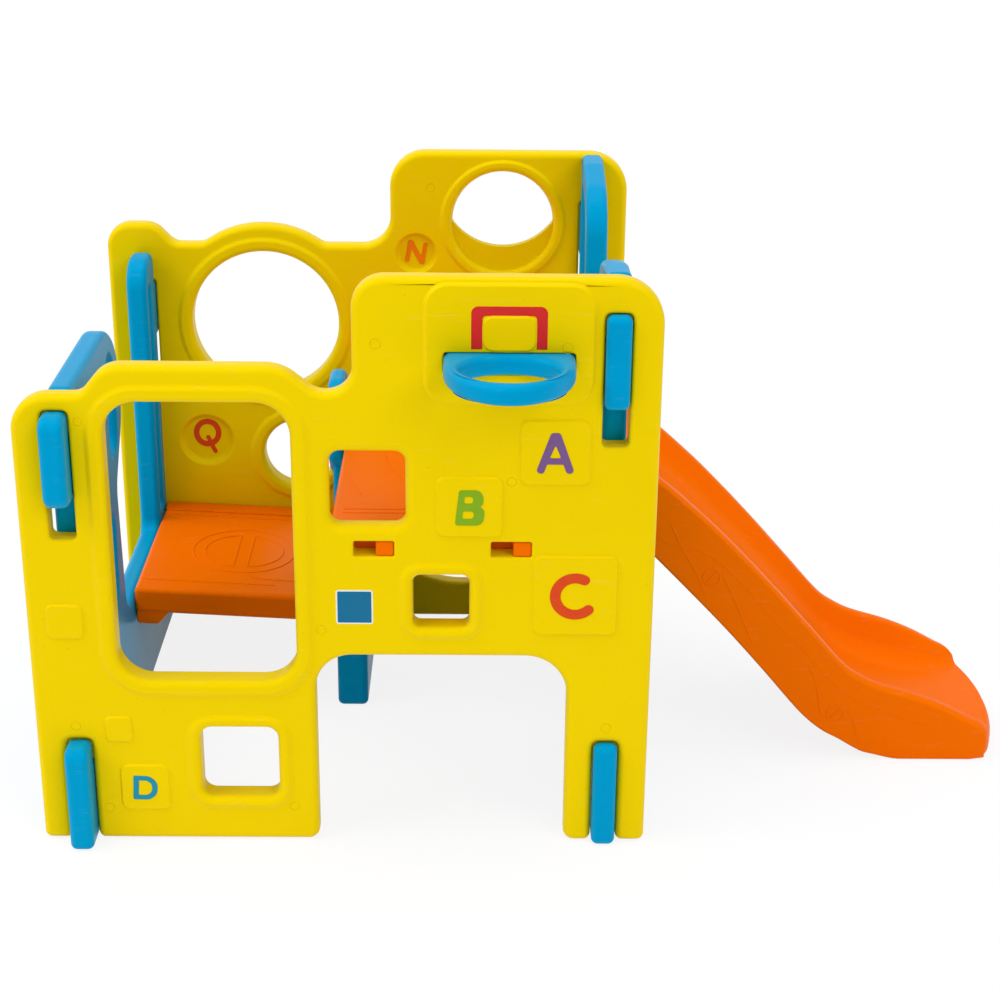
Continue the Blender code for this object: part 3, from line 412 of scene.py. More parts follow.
def moulded_plastic(name, colour, deep, sheen, gloss, roughness=0.33):
    """Satin blow-moulded polyethylene: soft waves, fine skin, a few specks and rubs."""
    finish = Finish(name, roughness, Specular_IOR_Level=gloss, Specular_Tint=(*sheen, 1.0))
    place = finish.node("TexCoord", None, None, "Object")
    cloud = finish.noise(place, 3.2, 3.0)
    patch = finish.noise(place, 17.0, 3.0)
    skin = finish.noise(place, 640.0, 2.0)
    peel = finish.noise(place, 120.0, 2.0)
    speck = finish.ramp(finish.noise(place, 150.0, 1.0), 0.775, 0.80)
    long = finish.node("Mapping", None, {"Vector": place, "Scale": (14.0, 60.0, 130.0)})
    rub = finish.ramp(finish.noise(long, 1.4, 3.0), 0.62, 0.80)
    base = finish.blend(cloud * 0.9, colour, deep)
    base = finish.blend(speck * 0.30, base, shade(deep, 0.45))
    base = finish.blend(rub * 0.03, base, (0.9, 0.9, 0.86))
    finish.show("Base Color", base)
    finish.show("Roughness", roughness - 0.05 + cloud * 0.06 + patch * 0.05 + rub * 0.10)
    height = cloud * 0.0045 + peel * 0.00006 + skin * 0.000018
    finish.show("Normal", finish.node("Bump", None, {"Strength": 1.0, "Distance": 1.0, "Height": height}))
    return finish.material


def paint(name, colour, roughness=0.28):
    """Printed coat on raised letters: nearly even, a little thin in places."""
    finish = Finish(name, roughness, Specular_IOR_Level=0.15)
    place = finish.node("TexCoord", None, None, "Object")
    thin = finish.ramp(finish.noise(place, 70.0, 4.0), 0.35, 0.75)
    grain = finish.noise(place, 900.0, 2.0)
    finish.show("Base Color", finish.blend(thin * 0.35, colour, shade(colour, 0.80)))
    finish.show("Roughness", roughness + thin * 0.10)
    finish.show("Normal", finish.node("Bump", None, {"Strength": 1.0, "Distance": 1.0, "Height": grain * 0.00002}))
    return finish.material


# Shared by both end walls


def foot_notches(top, corner=0.010, foot=0.013):
    """Corners of a wall's bottom edge at the left and right foot hooks."""
    notches = []
    for left in (LEFT_BLUE, RIGHT_BLUE):
        near = left - SLOT_PLAY
        far = left + BLUE_THICK + SLOT_PLAY
        notches.append([(near, FOOT_LIFT, foot), (near, top, corner), (far, top, corner), (far, FOOT_LIFT, foot)])
    return notches


def notched_edge(wall, half, corners, outer):
    """A wall's edge; the foot notches reach higher on the outer face, where the fingers lie."""
    neck = FOOT_HOOK_HEIGHT - HOOK_LAP + SEAT_GAP
    mouth, loop = (corners(*foot_notches(top)) for top in (FOOT_HOOK_HEIGHT + SLOT_PLAY, neck))
    return wall.stepped(mouth, loop, -1, half, WALL_RIM, outer)


def hook_slots(wall, half, outer):
    """Slots of both upper hooks below their pockets; returns their front rings and back rings."""
    fronts = []
    backs = []
    for left, base in ((LEFT_BLUE, LEFT_HOOK_BASE), (RIGHT_BLUE, RIGHT_HOOK_BASE)):
        near = left - SLOT_PLAY
        far = left + BLUE_THICK + SLOT_PLAY
        low = base - SLOT_DROP
        high = base + HOOK_HEIGHT
        loop = box(near, low, far, high - HOOK_LAP + SEAT_GAP, 0.010)
        mouth = box(near - SEAT_GAP, low - SEAT_GAP, far + SEAT_GAP, high + SLOT_PLAY, 0.010)
        front, back = wall.stepped(mouth, loop, 1, half, SLOT_RIM, outer)
        fronts.append(front)
        backs.append(back)
    return fronts, backs


TAB_SLOT_LEFT = (0.5697, 0.8057)
TAB_SLOT_WIDTH = 0.070
TAB_SLOT_HEIGHT = 0.028
TAB_WIDTH = 0.031
DECK_PLAY = 0.0006


def tab_slots(wall, half, lefts, top):
    fronts = []
    backs = []
    for left in lefts:
        loop = box(left, top - TAB_SLOT_HEIGHT, left + TAB_SLOT_WIDTH, top + DECK_PLAY, 0.004)
        front, back = wall.side(loop, 1, half, half, 0.0045)
        fronts.append(front)
        backs.append(back)
    return fronts, backs


# Front wall

HOOP_WIDTH = 0.2176
HOOP_THICK = 0.0364
HOOP_TOP = 0.9343
HOOP_CENTRE = 0.8333

# left, low, right, high, corner, frame width, frame rise
FRONT_WINDOWS = (
    (0.1535, 0.3236, 0.4671, 0.8420, 0.060, 0.027, 0.005),
    (0.6714, 0.4312, 0.7691, 0.5305, 0.014, 0.020, 0.005),
    (0.2915, 0.0910, 0.4295, 0.2317, 0.022, 0.021, 0.005),
)
PLAIN_WINDOW = (0.5300, 0.6210, 0.6597, 0.7550, 0.020)
LETTER_PADS = {
    "A": (0.8541, 0.7010, 0.9714, 0.8159),
    "B": (0.7130, 0.6047, 0.8245, 0.7128),
    "C": (0.8797, 0.4206, 1.0242, 0.5680),
    "D": (0.1459, 0.0658, 0.2319, 0.1556),
}
PLAIN_PADS = ((0.0364, 0.4070, 0.0982, 0.4702), (0.1243, 0.2039, 0.1713, 0.2523))
BOARD = (0.6937, 0.8456, 0.9737, 1.0510, 0.040)
BOARD_BLOCK = (0.7900, 0.9393, 0.8764, 0.9970, 0.016)
FRONT_MARKS = ((0.1145, 0.8071, 0.0070), (0.0723, 0.2334, 0.0085), (0.1220, 0.0680, 0.0085),
               (0.4559, 0.0721, 0.0085), (0.5115, 0.4253, 0.0085), (0.6123, 0.9469, 0.0085),
               (0.8400, 0.7049, 0.0080), (1.0134, 0.2353, 0.0085))
PAD_RISE = 0.004
PAD_SOFT = 0.0022
BOARD_RISE = 0.006


def make_front_wall(material):
    half = WALL_THICK / 2
    wall = Moulding("wall", half)

    def edge(left_notch, right_notch):
        return rounded(
            [(0, FOOT_LIFT, 0.013)] + left_notch
            + [(0.4993, FOOT_LIFT, 0.020), (0.4993, 0.3735, 0.065),
               (0.9415, 0.3735, 0.075), (0.9415, FOOT_LIFT, 0.020)]
            + right_notch
            + [(WALL_WIDTH, FOOT_LIFT, 0.013), (WALL_WIDTH, WALL_HEIGHT, 0.080), (0.5726, WALL_HEIGHT, 0.055),
               (0.5726, 0.8106, 0.045), (0.454, 0.9052, 0.080), (0.162, 0.9052, 0.055),
               (0.119, SHOULDER_Z, 0.026), (0, SHOULDER_Z, 0.065)])

    front, back = notched_edge(wall, half, edge, 1)
    fronts = [front]
    backs = [back]
    for left, low, right, high, corner, width, rise in FRONT_WINDOWS:
        loop = box(left, low, right, high, corner)
        fronts.append(wall.frame(loop, half, rise, width)[0])
        backs.append(wall.frame(loop, -half, rise, width)[0])
    front, back = wall.side(box(*PLAIN_WINDOW), 1, half, half, 0.016)
    fronts.append(front)
    backs.append(back)
    for rings in (hook_slots(wall, half, 1), tab_slots(wall, half, TAB_SLOT_LEFT, UPPER_DECK_Z)):
        fronts += rings[0]
        backs += rings[1]
    for pad in LETTER_PADS.values():
        foot, top = wall.pad(box(*pad, 0.014), half, PAD_RISE, PAD_SOFT)
        fronts.append(foot)
        wall.fill([top])
    for pad in PLAIN_PADS:
        foot, top = wall.pad(box(*pad, 0.010), half, PAD_RISE, PAD_SOFT)
        fronts.append(foot)
        wall.fill([top])
    for x, z, radius in FRONT_MARKS:
        fronts.append(wall.mark((x, z), half, radius))
    board = half + BOARD_RISE
    foot, board_top = wall.pad(box(*BOARD), half, BOARD_RISE, 0.0040)
    fronts.append(foot)
    reach = HOOP_WIDTH / 2 + 0.0008
    slot = box(HOOP_CENTRE - reach, HOOP_TOP - HOOP_THICK - 0.0008, HOOP_CENTRE + reach, HOOP_TOP + 0.0008, 0.006)
    slot_front, slot_back = wall.side(slot, 1, board, half, 0.0022)
    backs.append(slot_back)
    block_foot, block_top = wall.pad(box(*BOARD_BLOCK), board, PAD_RISE, PAD_SOFT)
    wall.fill([block_top])
    wall.fill([board_top, slot_front, block_foot, wall.mark((0.929, 0.944), board)])
    wall.fill(fronts)
    wall.fill(backs)
    piece = wall.piece("front_wall_moulding", material)
    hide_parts("front_wall")


# Rear wall

REAR_ROUND = (0.3275, 0.6905, 0.1552)
REAR_BUMP = 0.2124
REAR_DIP = 0.8613
REAR_SMALL = (0.3920, 0.3930, 0.0760)
REAR_CRAWL = (0.7457, 0.2911, 0.2078)
REAR_PORT = (0.8299, 0.9131, 0.1068)
PORT_SILL = 0.858
CUPS = ((0.1908, 0.4228, 0.061), (0.6489, 0.8446, 0.045))
CUP_DEPTH = 0.012
PORT_PLATE = 0.009            # half thickness of the plate in the porthole's foot


def port_loop(radius):
    """Round porthole closed below by a shallow sagging arc."""
    x, z, _ = REAR_PORT
    sag = z - PORT_SILL
    arc = (radius ** 2 + sag ** 2) / (2 * sag)
    spread = math.asin(radius / arc)
    top = [math.pi * i / 32 for i in range(33)]
    low = [-spread + 2 * spread * i / 24 for i in range(1, 24)]
    return ([Vector((x + radius * math.cos(t), z + radius * math.sin(t))) for t in top]
            + [Vector((x + arc * math.sin(t), z - sag + arc - arc * math.cos(t))) for t in low])


def make_rear_wall(material):
    half = WALL_THICK / 2
    wall = Moulding("wall", WALL_BACK + half)
    x, z, _ = REAR_ROUND
    spread = math.acos((REAR_DIP + 0.018 - z) / REAR_BUMP)
    reach = REAR_BUMP * math.sin(spread)
    bump = []
    for i in range(33):
        turn = spread * (1 - i / 16)
        bump.append(Vector((x + REAR_BUMP * math.sin(turn), z + REAR_BUMP * math.cos(turn))))

    def edge(left_notch, right_notch):
        outline = rounded(
            [(0, FOOT_LIFT, 0.013)] + left_notch + right_notch
            + [(WALL_WIDTH, FOOT_LIFT, 0.013), (WALL_WIDTH, WALL_HEIGHT, 0.080), (0.5948, WALL_HEIGHT, 0.075),
               (0.5948, REAR_DIP, 0.060), (x + reach + 0.030, REAR_DIP, 0.030), (x + reach, REAR_DIP + 0.018, 0),
               (x - reach, REAR_DIP + 0.018, 0), (x - reach - 0.030, REAR_DIP, 0.030), (0.1406, REAR_DIP, 0.033),
               (0.1006, 0.9033, 0.050), (0, 0.9033, 0.050)])
        start = min(range(len(outline)), key=lambda i: (outline[i] - bump[0]).length)
        return outline[:start] + bump + outline[start + 2:]

    front, back = notched_edge(wall, half, edge, -1)
    fronts = [front]
    backs = [back]
    for cx, cz, radius in (REAR_ROUND, REAR_SMALL):
        loop = circle(cx, cz, radius, 96)
        fronts.append(wall.frame(loop, half, 0.005, 0.027)[0])
        backs.append(wall.frame(loop, -half, 0.005, 0.027)[0])
    front, back = wall.side(circle(*REAR_CRAWL, 120), 1, half, half, 0.010)
    fronts.append(front)
    backs.append(back)
    px, pz, radius = REAR_PORT
    lower = port_loop(radius - 0.0016)
    plate_front, plate_back = wall.side(lower, 1, PORT_PLATE, PORT_PLATE, 0.0013)
    for sign, ends, plate in ((1, fronts, plate_front), (-1, backs, plate_back)):
        loop = circle(px, pz, radius, 96)
        foot, inner = wall.frame(loop, sign * half, 0.005, 0.022, 0.012, 0.0045, [(0, sign * PORT_PLATE)])
        ends.append(foot)
        wall.fill([inner, plate])
    for rings in (hook_slots(wall, half, -1), tab_slots(wall, half, TAB_SLOT_LEFT, UPPER_DECK_Z)):
        fronts += rings[0]
        backs += rings[1]
    for cx, cz, size in CUPS:
        mouth, floor = wall.cup((cx, cz), size, half, CUP_DEPTH)
        fronts.append(mouth)
        wall.fill([floor])
    for centre in ((0.680, 0.985), (0.930, 0.700), (0.050, 0.250)):
        fronts.append(wall.mark(centre, half))
    wall.fill(fronts)
    wall.fill(backs)
    piece = wall.piece("rear_wall_moulding", material)
    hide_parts("rear_wall")


# Blue panels


def hook_edge(base, stand):
    """Front edge of a blue panel going up: foot hook, then upper hook."""
    body = WALL_THICK + SEAT_GAP
    face = POCKET_DEPTH - SEAT_GAP
    tip = 0.45 * (stand + face)
    inner = BLUE_RIM + 0.0005
    neck = FOOT_HOOK_HEIGHT - HOOK_LAP
    top = base + HOOK_HEIGHT
    return [
        (-stand, 0, inner), (-stand, FOOT_HOOK_HEIGHT, tip), (face, FOOT_HOOK_HEIGHT, inner),
        (face, neck, 0), (body, neck, 0), (body, base, 0), (-stand, base, tip), (-stand, top, tip),
        (face, top, inner), (face, top - HOOK_LAP, 0), (body, top - HOOK_LAP, 0),
    ]


def mirrored(corners):
    """The same edge at the rear wall, running down."""
    return [(2 * MID_Y - y, z, radius) for y, z, radius in reversed(corners)]


def make_climbing_side(material):
    half = BLUE_THICK / 2
    panel = Moulding("side", LEFT_BLUE + half)
    body = WALL_THICK + SEAT_GAP
    back_edge = 2 * MID_Y - body
    edge = hook_edge(LEFT_HOOK_BASE, HOOK_STAND)
    top = SHOULDER_Z - 0.005
    rail = WALL_BACK - 0.109
    outline = rounded(edge + [
        (body, top, 0.025), (0.5024, top, 0.140), (0.492, 0.640, 0.080), (0.402, 0.530, 0.060),
        (0.423, 0.2573, 0.050), (rail, 0.2573, 0.025), (rail, top, 0.060), (back_edge, top, 0.025),
    ] + mirrored(edge))
    front, back = panel.side(outline, -1, half, half, BLUE_RIM)
    fronts = [front]
    backs = [back]
    strip = back_edge - 0.050
    bar = rail + 0.030
    holes = (
        [(0.3653, 0.6008, 0.020), (0.4253, 0.6089, 0.030), (0.4336, 0.7707, 0.040), (0.3687, 0.8123, 0.024)],
        [(0.156, 0.330, 0.045), (0.344, 0.311, 0.040), (0.352, 0.505, 0.050), (0.160, 0.540, 0.060)],
        [(strip, top - 0.060, 0.013), (bar, top - 0.060, 0.013), (bar, 0.290, 0.013), (strip, 0.290, 0.013)],
    )
    for corners in holes:
        front, back = panel.side(rounded(corners), 1, half, half, BLUE_RIM)
        fronts.append(front)
        backs.append(back)
    panel.fill(fronts)
    panel.fill(backs)
    piece = panel.piece("climbing_side_moulding", material)
    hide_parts("climbing_side_panel")


GATE_SILL = UPPER_DECK_Z - 0.020
GATE_PLAY = 0.009
GATE_BULGE = 0.045
GATE_RISE = WALL_HEIGHT - GATE_SILL


def make_slide_side(material):
    half = BLUE_THICK / 2
    panel = Moulding("side", RIGHT_BLUE + half)
    body = WALL_THICK + SEAT_GAP
    edge = hook_edge(RIGHT_HOOK_BASE, SLIDE_HOOK_STAND)
    gate_front = SLIDE_CENTRE - SLIDE_WIDTH / 2 - GATE_PLAY
    gate_back = 2 * MID_Y - (SLIDE_CENTRE + SLIDE_WIDTH / 2 + GATE_PLAY)

    def handrail(near):
        return [(near, GATE_SILL, 0.016), (near - GATE_BULGE, GATE_SILL + 0.27 * GATE_RISE, 0.200),
                (near, GATE_SILL + 0.59 * GATE_RISE, 0.151), (near - 0.0175, GATE_SILL + 0.92 * GATE_RISE, 0.107),
                (body + 0.075, WALL_HEIGHT - 0.004, 0.070), (body, WALL_HEIGHT - 0.001, 0.008)]

    def grip(near, flip):
        strip = body + 0.030
        inner = near - 0.044
        low = GATE_SILL + 0.113 * GATE_RISE
        corners = [(strip, low, 0.024), (inner - GATE_BULGE, low, 0.035),
                   (inner - GATE_BULGE, GATE_SILL + 0.27 * GATE_RISE, 0.151),
                   (inner, GATE_SILL + 0.59 * GATE_RISE, 0.0975),
                   (inner - 0.035, GATE_SILL + 0.826 * GATE_RISE, 0.0585),
                   (strip, GATE_SILL + 0.897 * GATE_RISE, 0.024)]
        return rounded([(2 * MID_Y - y, z, r) for y, z, r in corners] if flip else corners)

    outline = rounded(edge + handrail(gate_front)[::-1]
                      + [(2 * MID_Y - y, z, r) for y, z, r in handrail(gate_back)] + mirrored(edge))
    front, back = panel.side(outline, -1, half, half, BLUE_RIM)
    fronts = [front]
    backs = [back]
    for loop in (grip(gate_front, False), grip(gate_back, True)):
        front, back = panel.side(loop, 1, half, half, BLUE_RIM)
        fronts.append(front)
        backs.append(back)
    panel.fill(fronts)
    panel.fill(backs)
    piece = panel.piece("slide_side_moulding", material)
    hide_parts("slide_side_panel")


DIVIDER_X = 0.4971
DIVIDER_THICK = 0.062
HANDLE_LEFT = DIVIDER_X - 0.007
HANDLE_THICK = 0.032
DIVIDER_FRONT = 0.517
DIVIDER_TOP = 0.701
DIVIDER_LEDGE = UPPER_DECK_Z - 0.045 - SEAT_GAP


def make_divider(material):
    half = DIVIDER_THICK / 2
    panel = Moulding("side", DIVIDER_X + half)
    back_edge = WALL_BACK - SEAT_GAP
    outline = rounded([(DIVIDER_FRONT, 0, 0.013), (DIVIDER_FRONT, DIVIDER_LEDGE, 0.016),
                       (back_edge, DIVIDER_LEDGE, 0.013), (back_edge, 0, 0.013)])
    for ring in panel.side(outline, -1, half, half, BLUE_RIM):
        panel.fill([ring])
    piece = panel.piece("divider_body", material)
    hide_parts("divider_panel")
    half = HANDLE_THICK / 2
    handle = Moulding("side", HANDLE_LEFT + half)
    front_y = 0.500
    back_y = 0.650
    knuckle = DIVIDER_LEDGE - 0.043
    plate = rounded([(front_y, DIVIDER_LEDGE, 0.025), (front_y, DIVIDER_TOP, 0.055), (back_y, DIVIDER_TOP, 0.059),
                     (back_y + 0.021, DIVIDER_LEDGE, 0.025), (back_y, knuckle, 0.019),
                     (DIVIDER_FRONT + 0.030, knuckle, 0.019)])
    finger = box(front_y + 0.042, DIVIDER_LEDGE + 0.060, back_y - 0.042, DIVIDER_TOP - 0.042, 0.021)
    front, back = handle.side(plate, -1, half, half, BLUE_RIM)
    hole_front, hole_back = handle.side(finger, 1, half, half, BLUE_RIM)
    handle.fill([front, hole_front])
    handle.fill([back, hole_back])
    piece = handle.piece("divider_handle", material)


# Decks


def deck_slab(name, corners, top, thick, rim, material):
    half = thick / 2
    deck = Moulding("floor", top - half)
    front, back = deck.side(rounded(corners), -1, half, half, rim)
    deck.fill([front])
    deck.fill([back])
    piece = deck.piece(name, material)
    return piece


def tab(name, left, low_y, high_y, top, material):
    """Deck tab in its wall slot, with a rounded face."""
    middle = (low_y + high_y) / 2
    reach = (high_y - low_y) / 2
    shape = Moulding("wall", middle)
    loop = box(left, top - TAB_SLOT_HEIGHT + DECK_PLAY, left + TAB_WIDTH, top - DECK_PLAY, 0.004)
    front, back = shape.side(loop, -1, reach, reach, 0.003, 0.0)
    shape.fill([front])
    shape.fill([back])
    piece = shape.piece(name, material)


def make_upper_deck(material):
    front = WALL_THICK + SEAT_GAP
    back = WALL_BACK - SEAT_GAP
    left = HANDLE_LEFT + HANDLE_THICK + 0.0025
    right = RIGHT_BLUE - 0.0135 - 3 * SEAT_GAP
    upper = deck_slab("upper_deck_moulding", [(left, front, 0.010), (right, front, 0.010), (right, back, 0.010),
                                              (left, back, 0.010)], UPPER_DECK_Z, 0.045, 0.008, material)
    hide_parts("upper_deck")
    for i, slot_left in enumerate(TAB_SLOT_LEFT):
        x = slot_left + TAB_SLOT_WIDTH - TAB_WIDTH - DECK_PLAY
        tab(f"upper_front_tab_{i + 1}", x, 0.004, front + 0.030, UPPER_DECK_Z, material)
        tab(f"upper_rear_tab_{i + 1}", x, back - 0.030, REAR_FACE - 0.004, UPPER_DECK_Z, material)


def end_pad(name, end, inward, bottom, low_y, high_y, material):
    """Deeper strip under one end of the lower deck."""
    middle = (low_y + high_y) / 2
    reach = (high_y - low_y) / 2
    shape = Moulding("wall", middle)
    near = end + inward * 0.002
    far = end + inward * 0.045
    low = bottom - 0.025
    loop = rounded([(near, bottom + 0.008, 0), (near, low, 0.006), (far, low, 0.010),
                    (far + inward * 0.020, bottom, 0), (far + inward * 0.020, bottom + 0.008, 0)])
    for ring in shape.side(loop, -1, reach, reach, 0.005, 0.0):
        shape.fill([ring])
    piece = shape.piece(name, material)
    return piece


def make_lower_deck(material):
    thick = 0.054
    low_y = 0.490
    left = LEFT_BLUE + BLUE_THICK + SEAT_GAP
    right = DIVIDER_X - SEAT_GAP
    back = WALL_BACK - SEAT_GAP
    lower = deck_slab("lower_deck_moulding", [(left, low_y, 0.010), (right, low_y, 0.010), (right, back, 0.010),
                                              (left, back, 0.010)], LOWER_DECK_Z, thick, 0.010, material)
    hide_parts("lower_deck")
    bottom = LOWER_DECK_Z - thick
    pads = [end_pad("lower_left_pad", left, 1, bottom, low_y + 0.002, back - 0.002, material),
            end_pad("lower_right_pad", right, -1, bottom, low_y + 0.002, back - 0.002, material)]
    for piece in [lower] + pads + make_lower_reliefs(material):
        for vertex in piece.data.vertices:
            share = (vertex.co.x - SHIFT.x - left) / (right - left)
            vertex.co.z -= LOWER_DECK_FALL * (share - 0.5)


# Slide

RAIL_LINE = ((-0.09, 1.093), (0.0, 1.082), (0.105, 0.998), (0.225, 0.859), (0.313, 0.742), (0.402, 0.615),
             (0.493, 0.479), (0.585, 0.342), (0.630, 0.300), (0.674, 0.272), (0.763, 0.236), (0.852, 0.191),
             (0.93, 0.147), (0.968, 0.128), (0.988, 0.108), (1.0, 0.080))
BED_LINE = ((-0.09, 0.992), (0.0, 0.977), (0.105, 0.882), (0.225, 0.744), (0.402, 0.500), (0.493, 0.365),
            (0.585, 0.222), (0.630, 0.175), (0.705, 0.128), (0.823, 0.092), (0.93, 0.080), (1.0, 0.078))
UNDER_LINE = ((0.0, 0.868), (0.105, 0.726), (0.199, 0.596), (0.291, 0.465), (0.386, 0.320), (0.450, 0.218),
              (0.482, 0.170), (0.514, 0.130), (0.545, 0.100), (0.576, 0.078), (0.608, 0.052), (0.639, 0.029),
              (0.669, 0.018), (0.731, 0.0), (0.80, 0.0), (1.0, 0.0))

SIDE_FOOT = 0.008             # rounding of the lower edge along the slide's sides
NOSE_FOOT = 0.020             # and at its nose
NOSE_RADIUS = 0.022
NOSE_BOW = 0.037              # how far the nose's corners stand back


def smooth_through(points, x):
    """Cubic Hermite curve through given points, read at x."""
    for i in range(len(points) - 1):
        x0, y0 = points[i]
        x1, y1 = points[i + 1]
        if x <= x1 or i == len(points) - 2:
            break
    xa, ya = points[max(i - 1, 0)]
    xb, yb = points[min(i + 2, len(points) - 1)]
    m0 = (y1 - ya) / (x1 - xa)
    m1 = (yb - y0) / (xb - x0)
    span = x1 - x0
    t = (x - x0) / span
    return ((2 * t ** 3 - 3 * t ** 2 + 1) * y0 + (t ** 3 - 2 * t ** 2 + t) * span * m0
            + (3 * t ** 2 - 2 * t ** 3) * y1 + (t ** 3 - t ** 2) * span * m1)


def fillet_path(corners, step=math.radians(9)):
    """Open polyline (a, b, radius) with its inner corners rounded."""
    points = [Vector(corners[0][:2])]
    for last, (a, b, radius), after in zip(corners, corners[1:], corners[2:]):
        here = Vector((a, b))
        to_last = Vector(last[:2]) - here
        to_next = Vector(after[:2]) - here
        room = 0.48 * min(to_last.length, to_next.length)
        to_last.normalize()
        to_next.normalize()
        turn = math.pi - to_last.angle(to_next)
        radius = min(radius, room / max(0.001, math.tan(turn / 2)))
        centre = here + (to_last + to_next).normalized() * (radius / math.cos(turn / 2))
        start = here + to_last * radius * math.tan(turn / 2) - centre
        side = 1 if to_last.cross(to_next) < 0 else -1
        for k in range(7):
            spoke = start.copy()
            spoke.rotate(Matrix.Rotation(side * turn * k / 6, 2))
            points.append(centre + spoke)
    points.append(Vector(corners[-1][:2]))
    return points


def slide_half(rail, bed, under, half, foot, steps=7):
    """Right half of the slide's section, from under the middle to the bed's middle."""
    depth = max(rail - bed, 0.0004)
    lean = min(0.030, 0.55 * depth)
    path = fillet_path([
        (0, under, 0),
        (half, under, foot),
        (half, rail, 0.012),
        (half - 0.026, rail, 0.011),
        (half - 0.028 - lean, bed, 0.060),
        (0, bed, 0),
    ])
    under_run = [path[0].lerp(path[1], k / steps) for k in range(steps)]
    bed_run = [path[-2].lerp(path[-1], k / steps) for k in range(1, steps + 1)]
    return under_run + path[1:-1] + bed_run


def slide_stations():
    deck = UPPER_DECK_Z
    sill_top = GATE_SILL + SEAT_GAP
    stations = [(RIGHT_BLUE - 0.0135 - SEAT_GAP, deck - 0.050), (RIGHT_BLUE - 1.5 * SEAT_GAP, deck - 0.050),
                (RIGHT_BLUE - SEAT_GAP, sill_top), (SLIDE_HEAD + SEAT_GAP, sill_top)]
    count = 90
    for i in range(count):
        share = 0.0005 + i / count
        stations.append((SLIDE_HEAD + 2 * SEAT_GAP + share * (SLIDE_RUN - 2 * SEAT_GAP),
                         max(0.0, smooth_through(UNDER_LINE, share) * deck)))
    return stations


def make_slide(material):
    deck = UPPER_DECK_Z
    half = SLIDE_WIDTH / 2
    loops = []
    for x, under in slide_stations():
        share = (x - SLIDE_HEAD) / SLIDE_RUN
        rail = smooth_through(RAIL_LINE, share) * deck
        bed = smooth_through(BED_LINE, share) * deck
        foot = SIDE_FOOT + (NOSE_FOOT - SIDE_FOOT) * max(0.0, (share - 0.94) / 0.06)
        loops.append((x, slide_half(rail, bed, under, half, foot)))
    middle = BED_LINE[-1][1] * deck / 2
    for i in range(1, 8):
        angle = math.pi / 2 * i / 7
        thick = middle * (0.15 + 0.85 * math.cos(angle))
        side = half - NOSE_RADIUS * (1 - math.cos(angle))
        loops.append((SLIDE_END - NOSE_RADIUS * (1 - math.sin(angle)),
                      slide_half(middle + thick, middle + thick, middle - thick, side, NOSE_FOOT)))
    points = []
    faces = []
    last = None
    for x, right in loops:
        share = (x - SLIDE_HEAD) / SLIDE_RUN
        bow = NOSE_BOW * max(0.0, (share - 0.80) / 0.20) ** 1.5
        section = right + [Vector((-y, z)) for y, z in reversed(right[1:-1])]
        ring = []
        for y, z in section:
            ring.append(len(points))
            points.append(Vector((x - bow * (y / half) ** 2, SLIDE_CENTRE + y, z)) + SHIFT)
        if last:
            for i in range(len(ring)):
                faces.append((last[i - 1], last[i], ring[i], ring[i - 1]))
        else:
            faces.append(tuple(ring))
        last = ring
    half_count = len(loops[-1][1])
    for i in range(half_count // 2):
        for low in (i, half_count - 1 + i):
            high = half_count - 1 - i if low == i else 2 * half_count - 2 - i
            corners = (low, low + 1, high - 1, high % len(last))
            faces.append(tuple(last[k] for k in dict.fromkeys(corners)))
    mesh = bpy.data.meshes.new("slide_moulding")
    mesh.from_pydata(points, [], faces)
    piece = finished("slide_moulding", mesh, material, 50)
    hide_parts("slide")


# Hoop


def make_hoop(material):
    half = HOOP_WIDTH / 2
    hoop = Moulding("floor", HOOP_TOP - HOOP_THICK / 2)
    side_run = 0.043
    front_run = HOOP_REACH - side_run
    turns = [math.pi * i / 60 for i in range(61)]
    outer = [Vector((HOOP_CENTRE + half * math.cos(t), -side_run - front_run * math.sin(t))) for t in turns]
    outer += [Vector((HOOP_CENTRE - half, 0.038)), Vector((HOOP_CENTRE + half, 0.038))]
    bore = HOOP_REACH - 0.0275 - 0.018
    turns = [2 * math.pi * i / 96 for i in range(96)]
    inner = [Vector((HOOP_CENTRE + (half - 0.0275) * math.cos(t), -0.018 - bore / 2 + bore / 2 * math.sin(t)))
             for t in turns]
    thick = HOOP_THICK / 2
    front, back = hoop.side(anticlockwise(outer), -1, thick, thick, 0.0125)
    inner_front, inner_back = hoop.side(inner, 1, thick, thick, 0.0125)
    hoop.fill([front, inner_front])
    hoop.fill([back, inner_back])
    piece = hoop.piece("basketball_hoop_moulding", material)
    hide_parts("basketball_hoop")


# Letters and painted marks


def turned(loops, degrees):
    """Loops in millimetres turned about the letter's middle, in metres."""
    turn = Matrix.Rotation(math.radians(degrees), 2)
    return [[turn @ Vector(p) / 1000 for p in loop] for loop in loops]


def stroke(middle, half):
    """Outline of a brush stroke with round ends along a row of points."""
    ahead = []
    back = []
    for i, here in enumerate(middle):
        before = middle[max(i - 1, 0)]
        after = middle[min(i + 1, len(middle) - 1)]
        along = (after - before).normalized()
        normal = Vector((-along.y, along.x)) * half
        ahead.append(here + normal)
        back.append(here - normal)
    caps = []
    for centre, along in ((middle[-1], (middle[-1] - middle[-2]).normalized()),
                          (middle[0], (middle[0] - middle[1]).normalized())):
        turns = [math.pi * k / 12 for k in range(1, 12)]
        normal = Vector((-along.y, along.x))
        caps.append([centre + half * (normal * math.cos(t) + along * math.sin(t)) for t in turns])
    return anticlockwise(ahead + caps[0] + back[::-1] + caps[1])


def arc_points(centre, radius, start, end, count=40):
    turns = [math.radians(start + (end - start) * i / count) for i in range(count + 1)]
    return [Vector((centre[0] + radius * math.cos(t), centre[1] + radius * math.sin(t))) for t in turns]


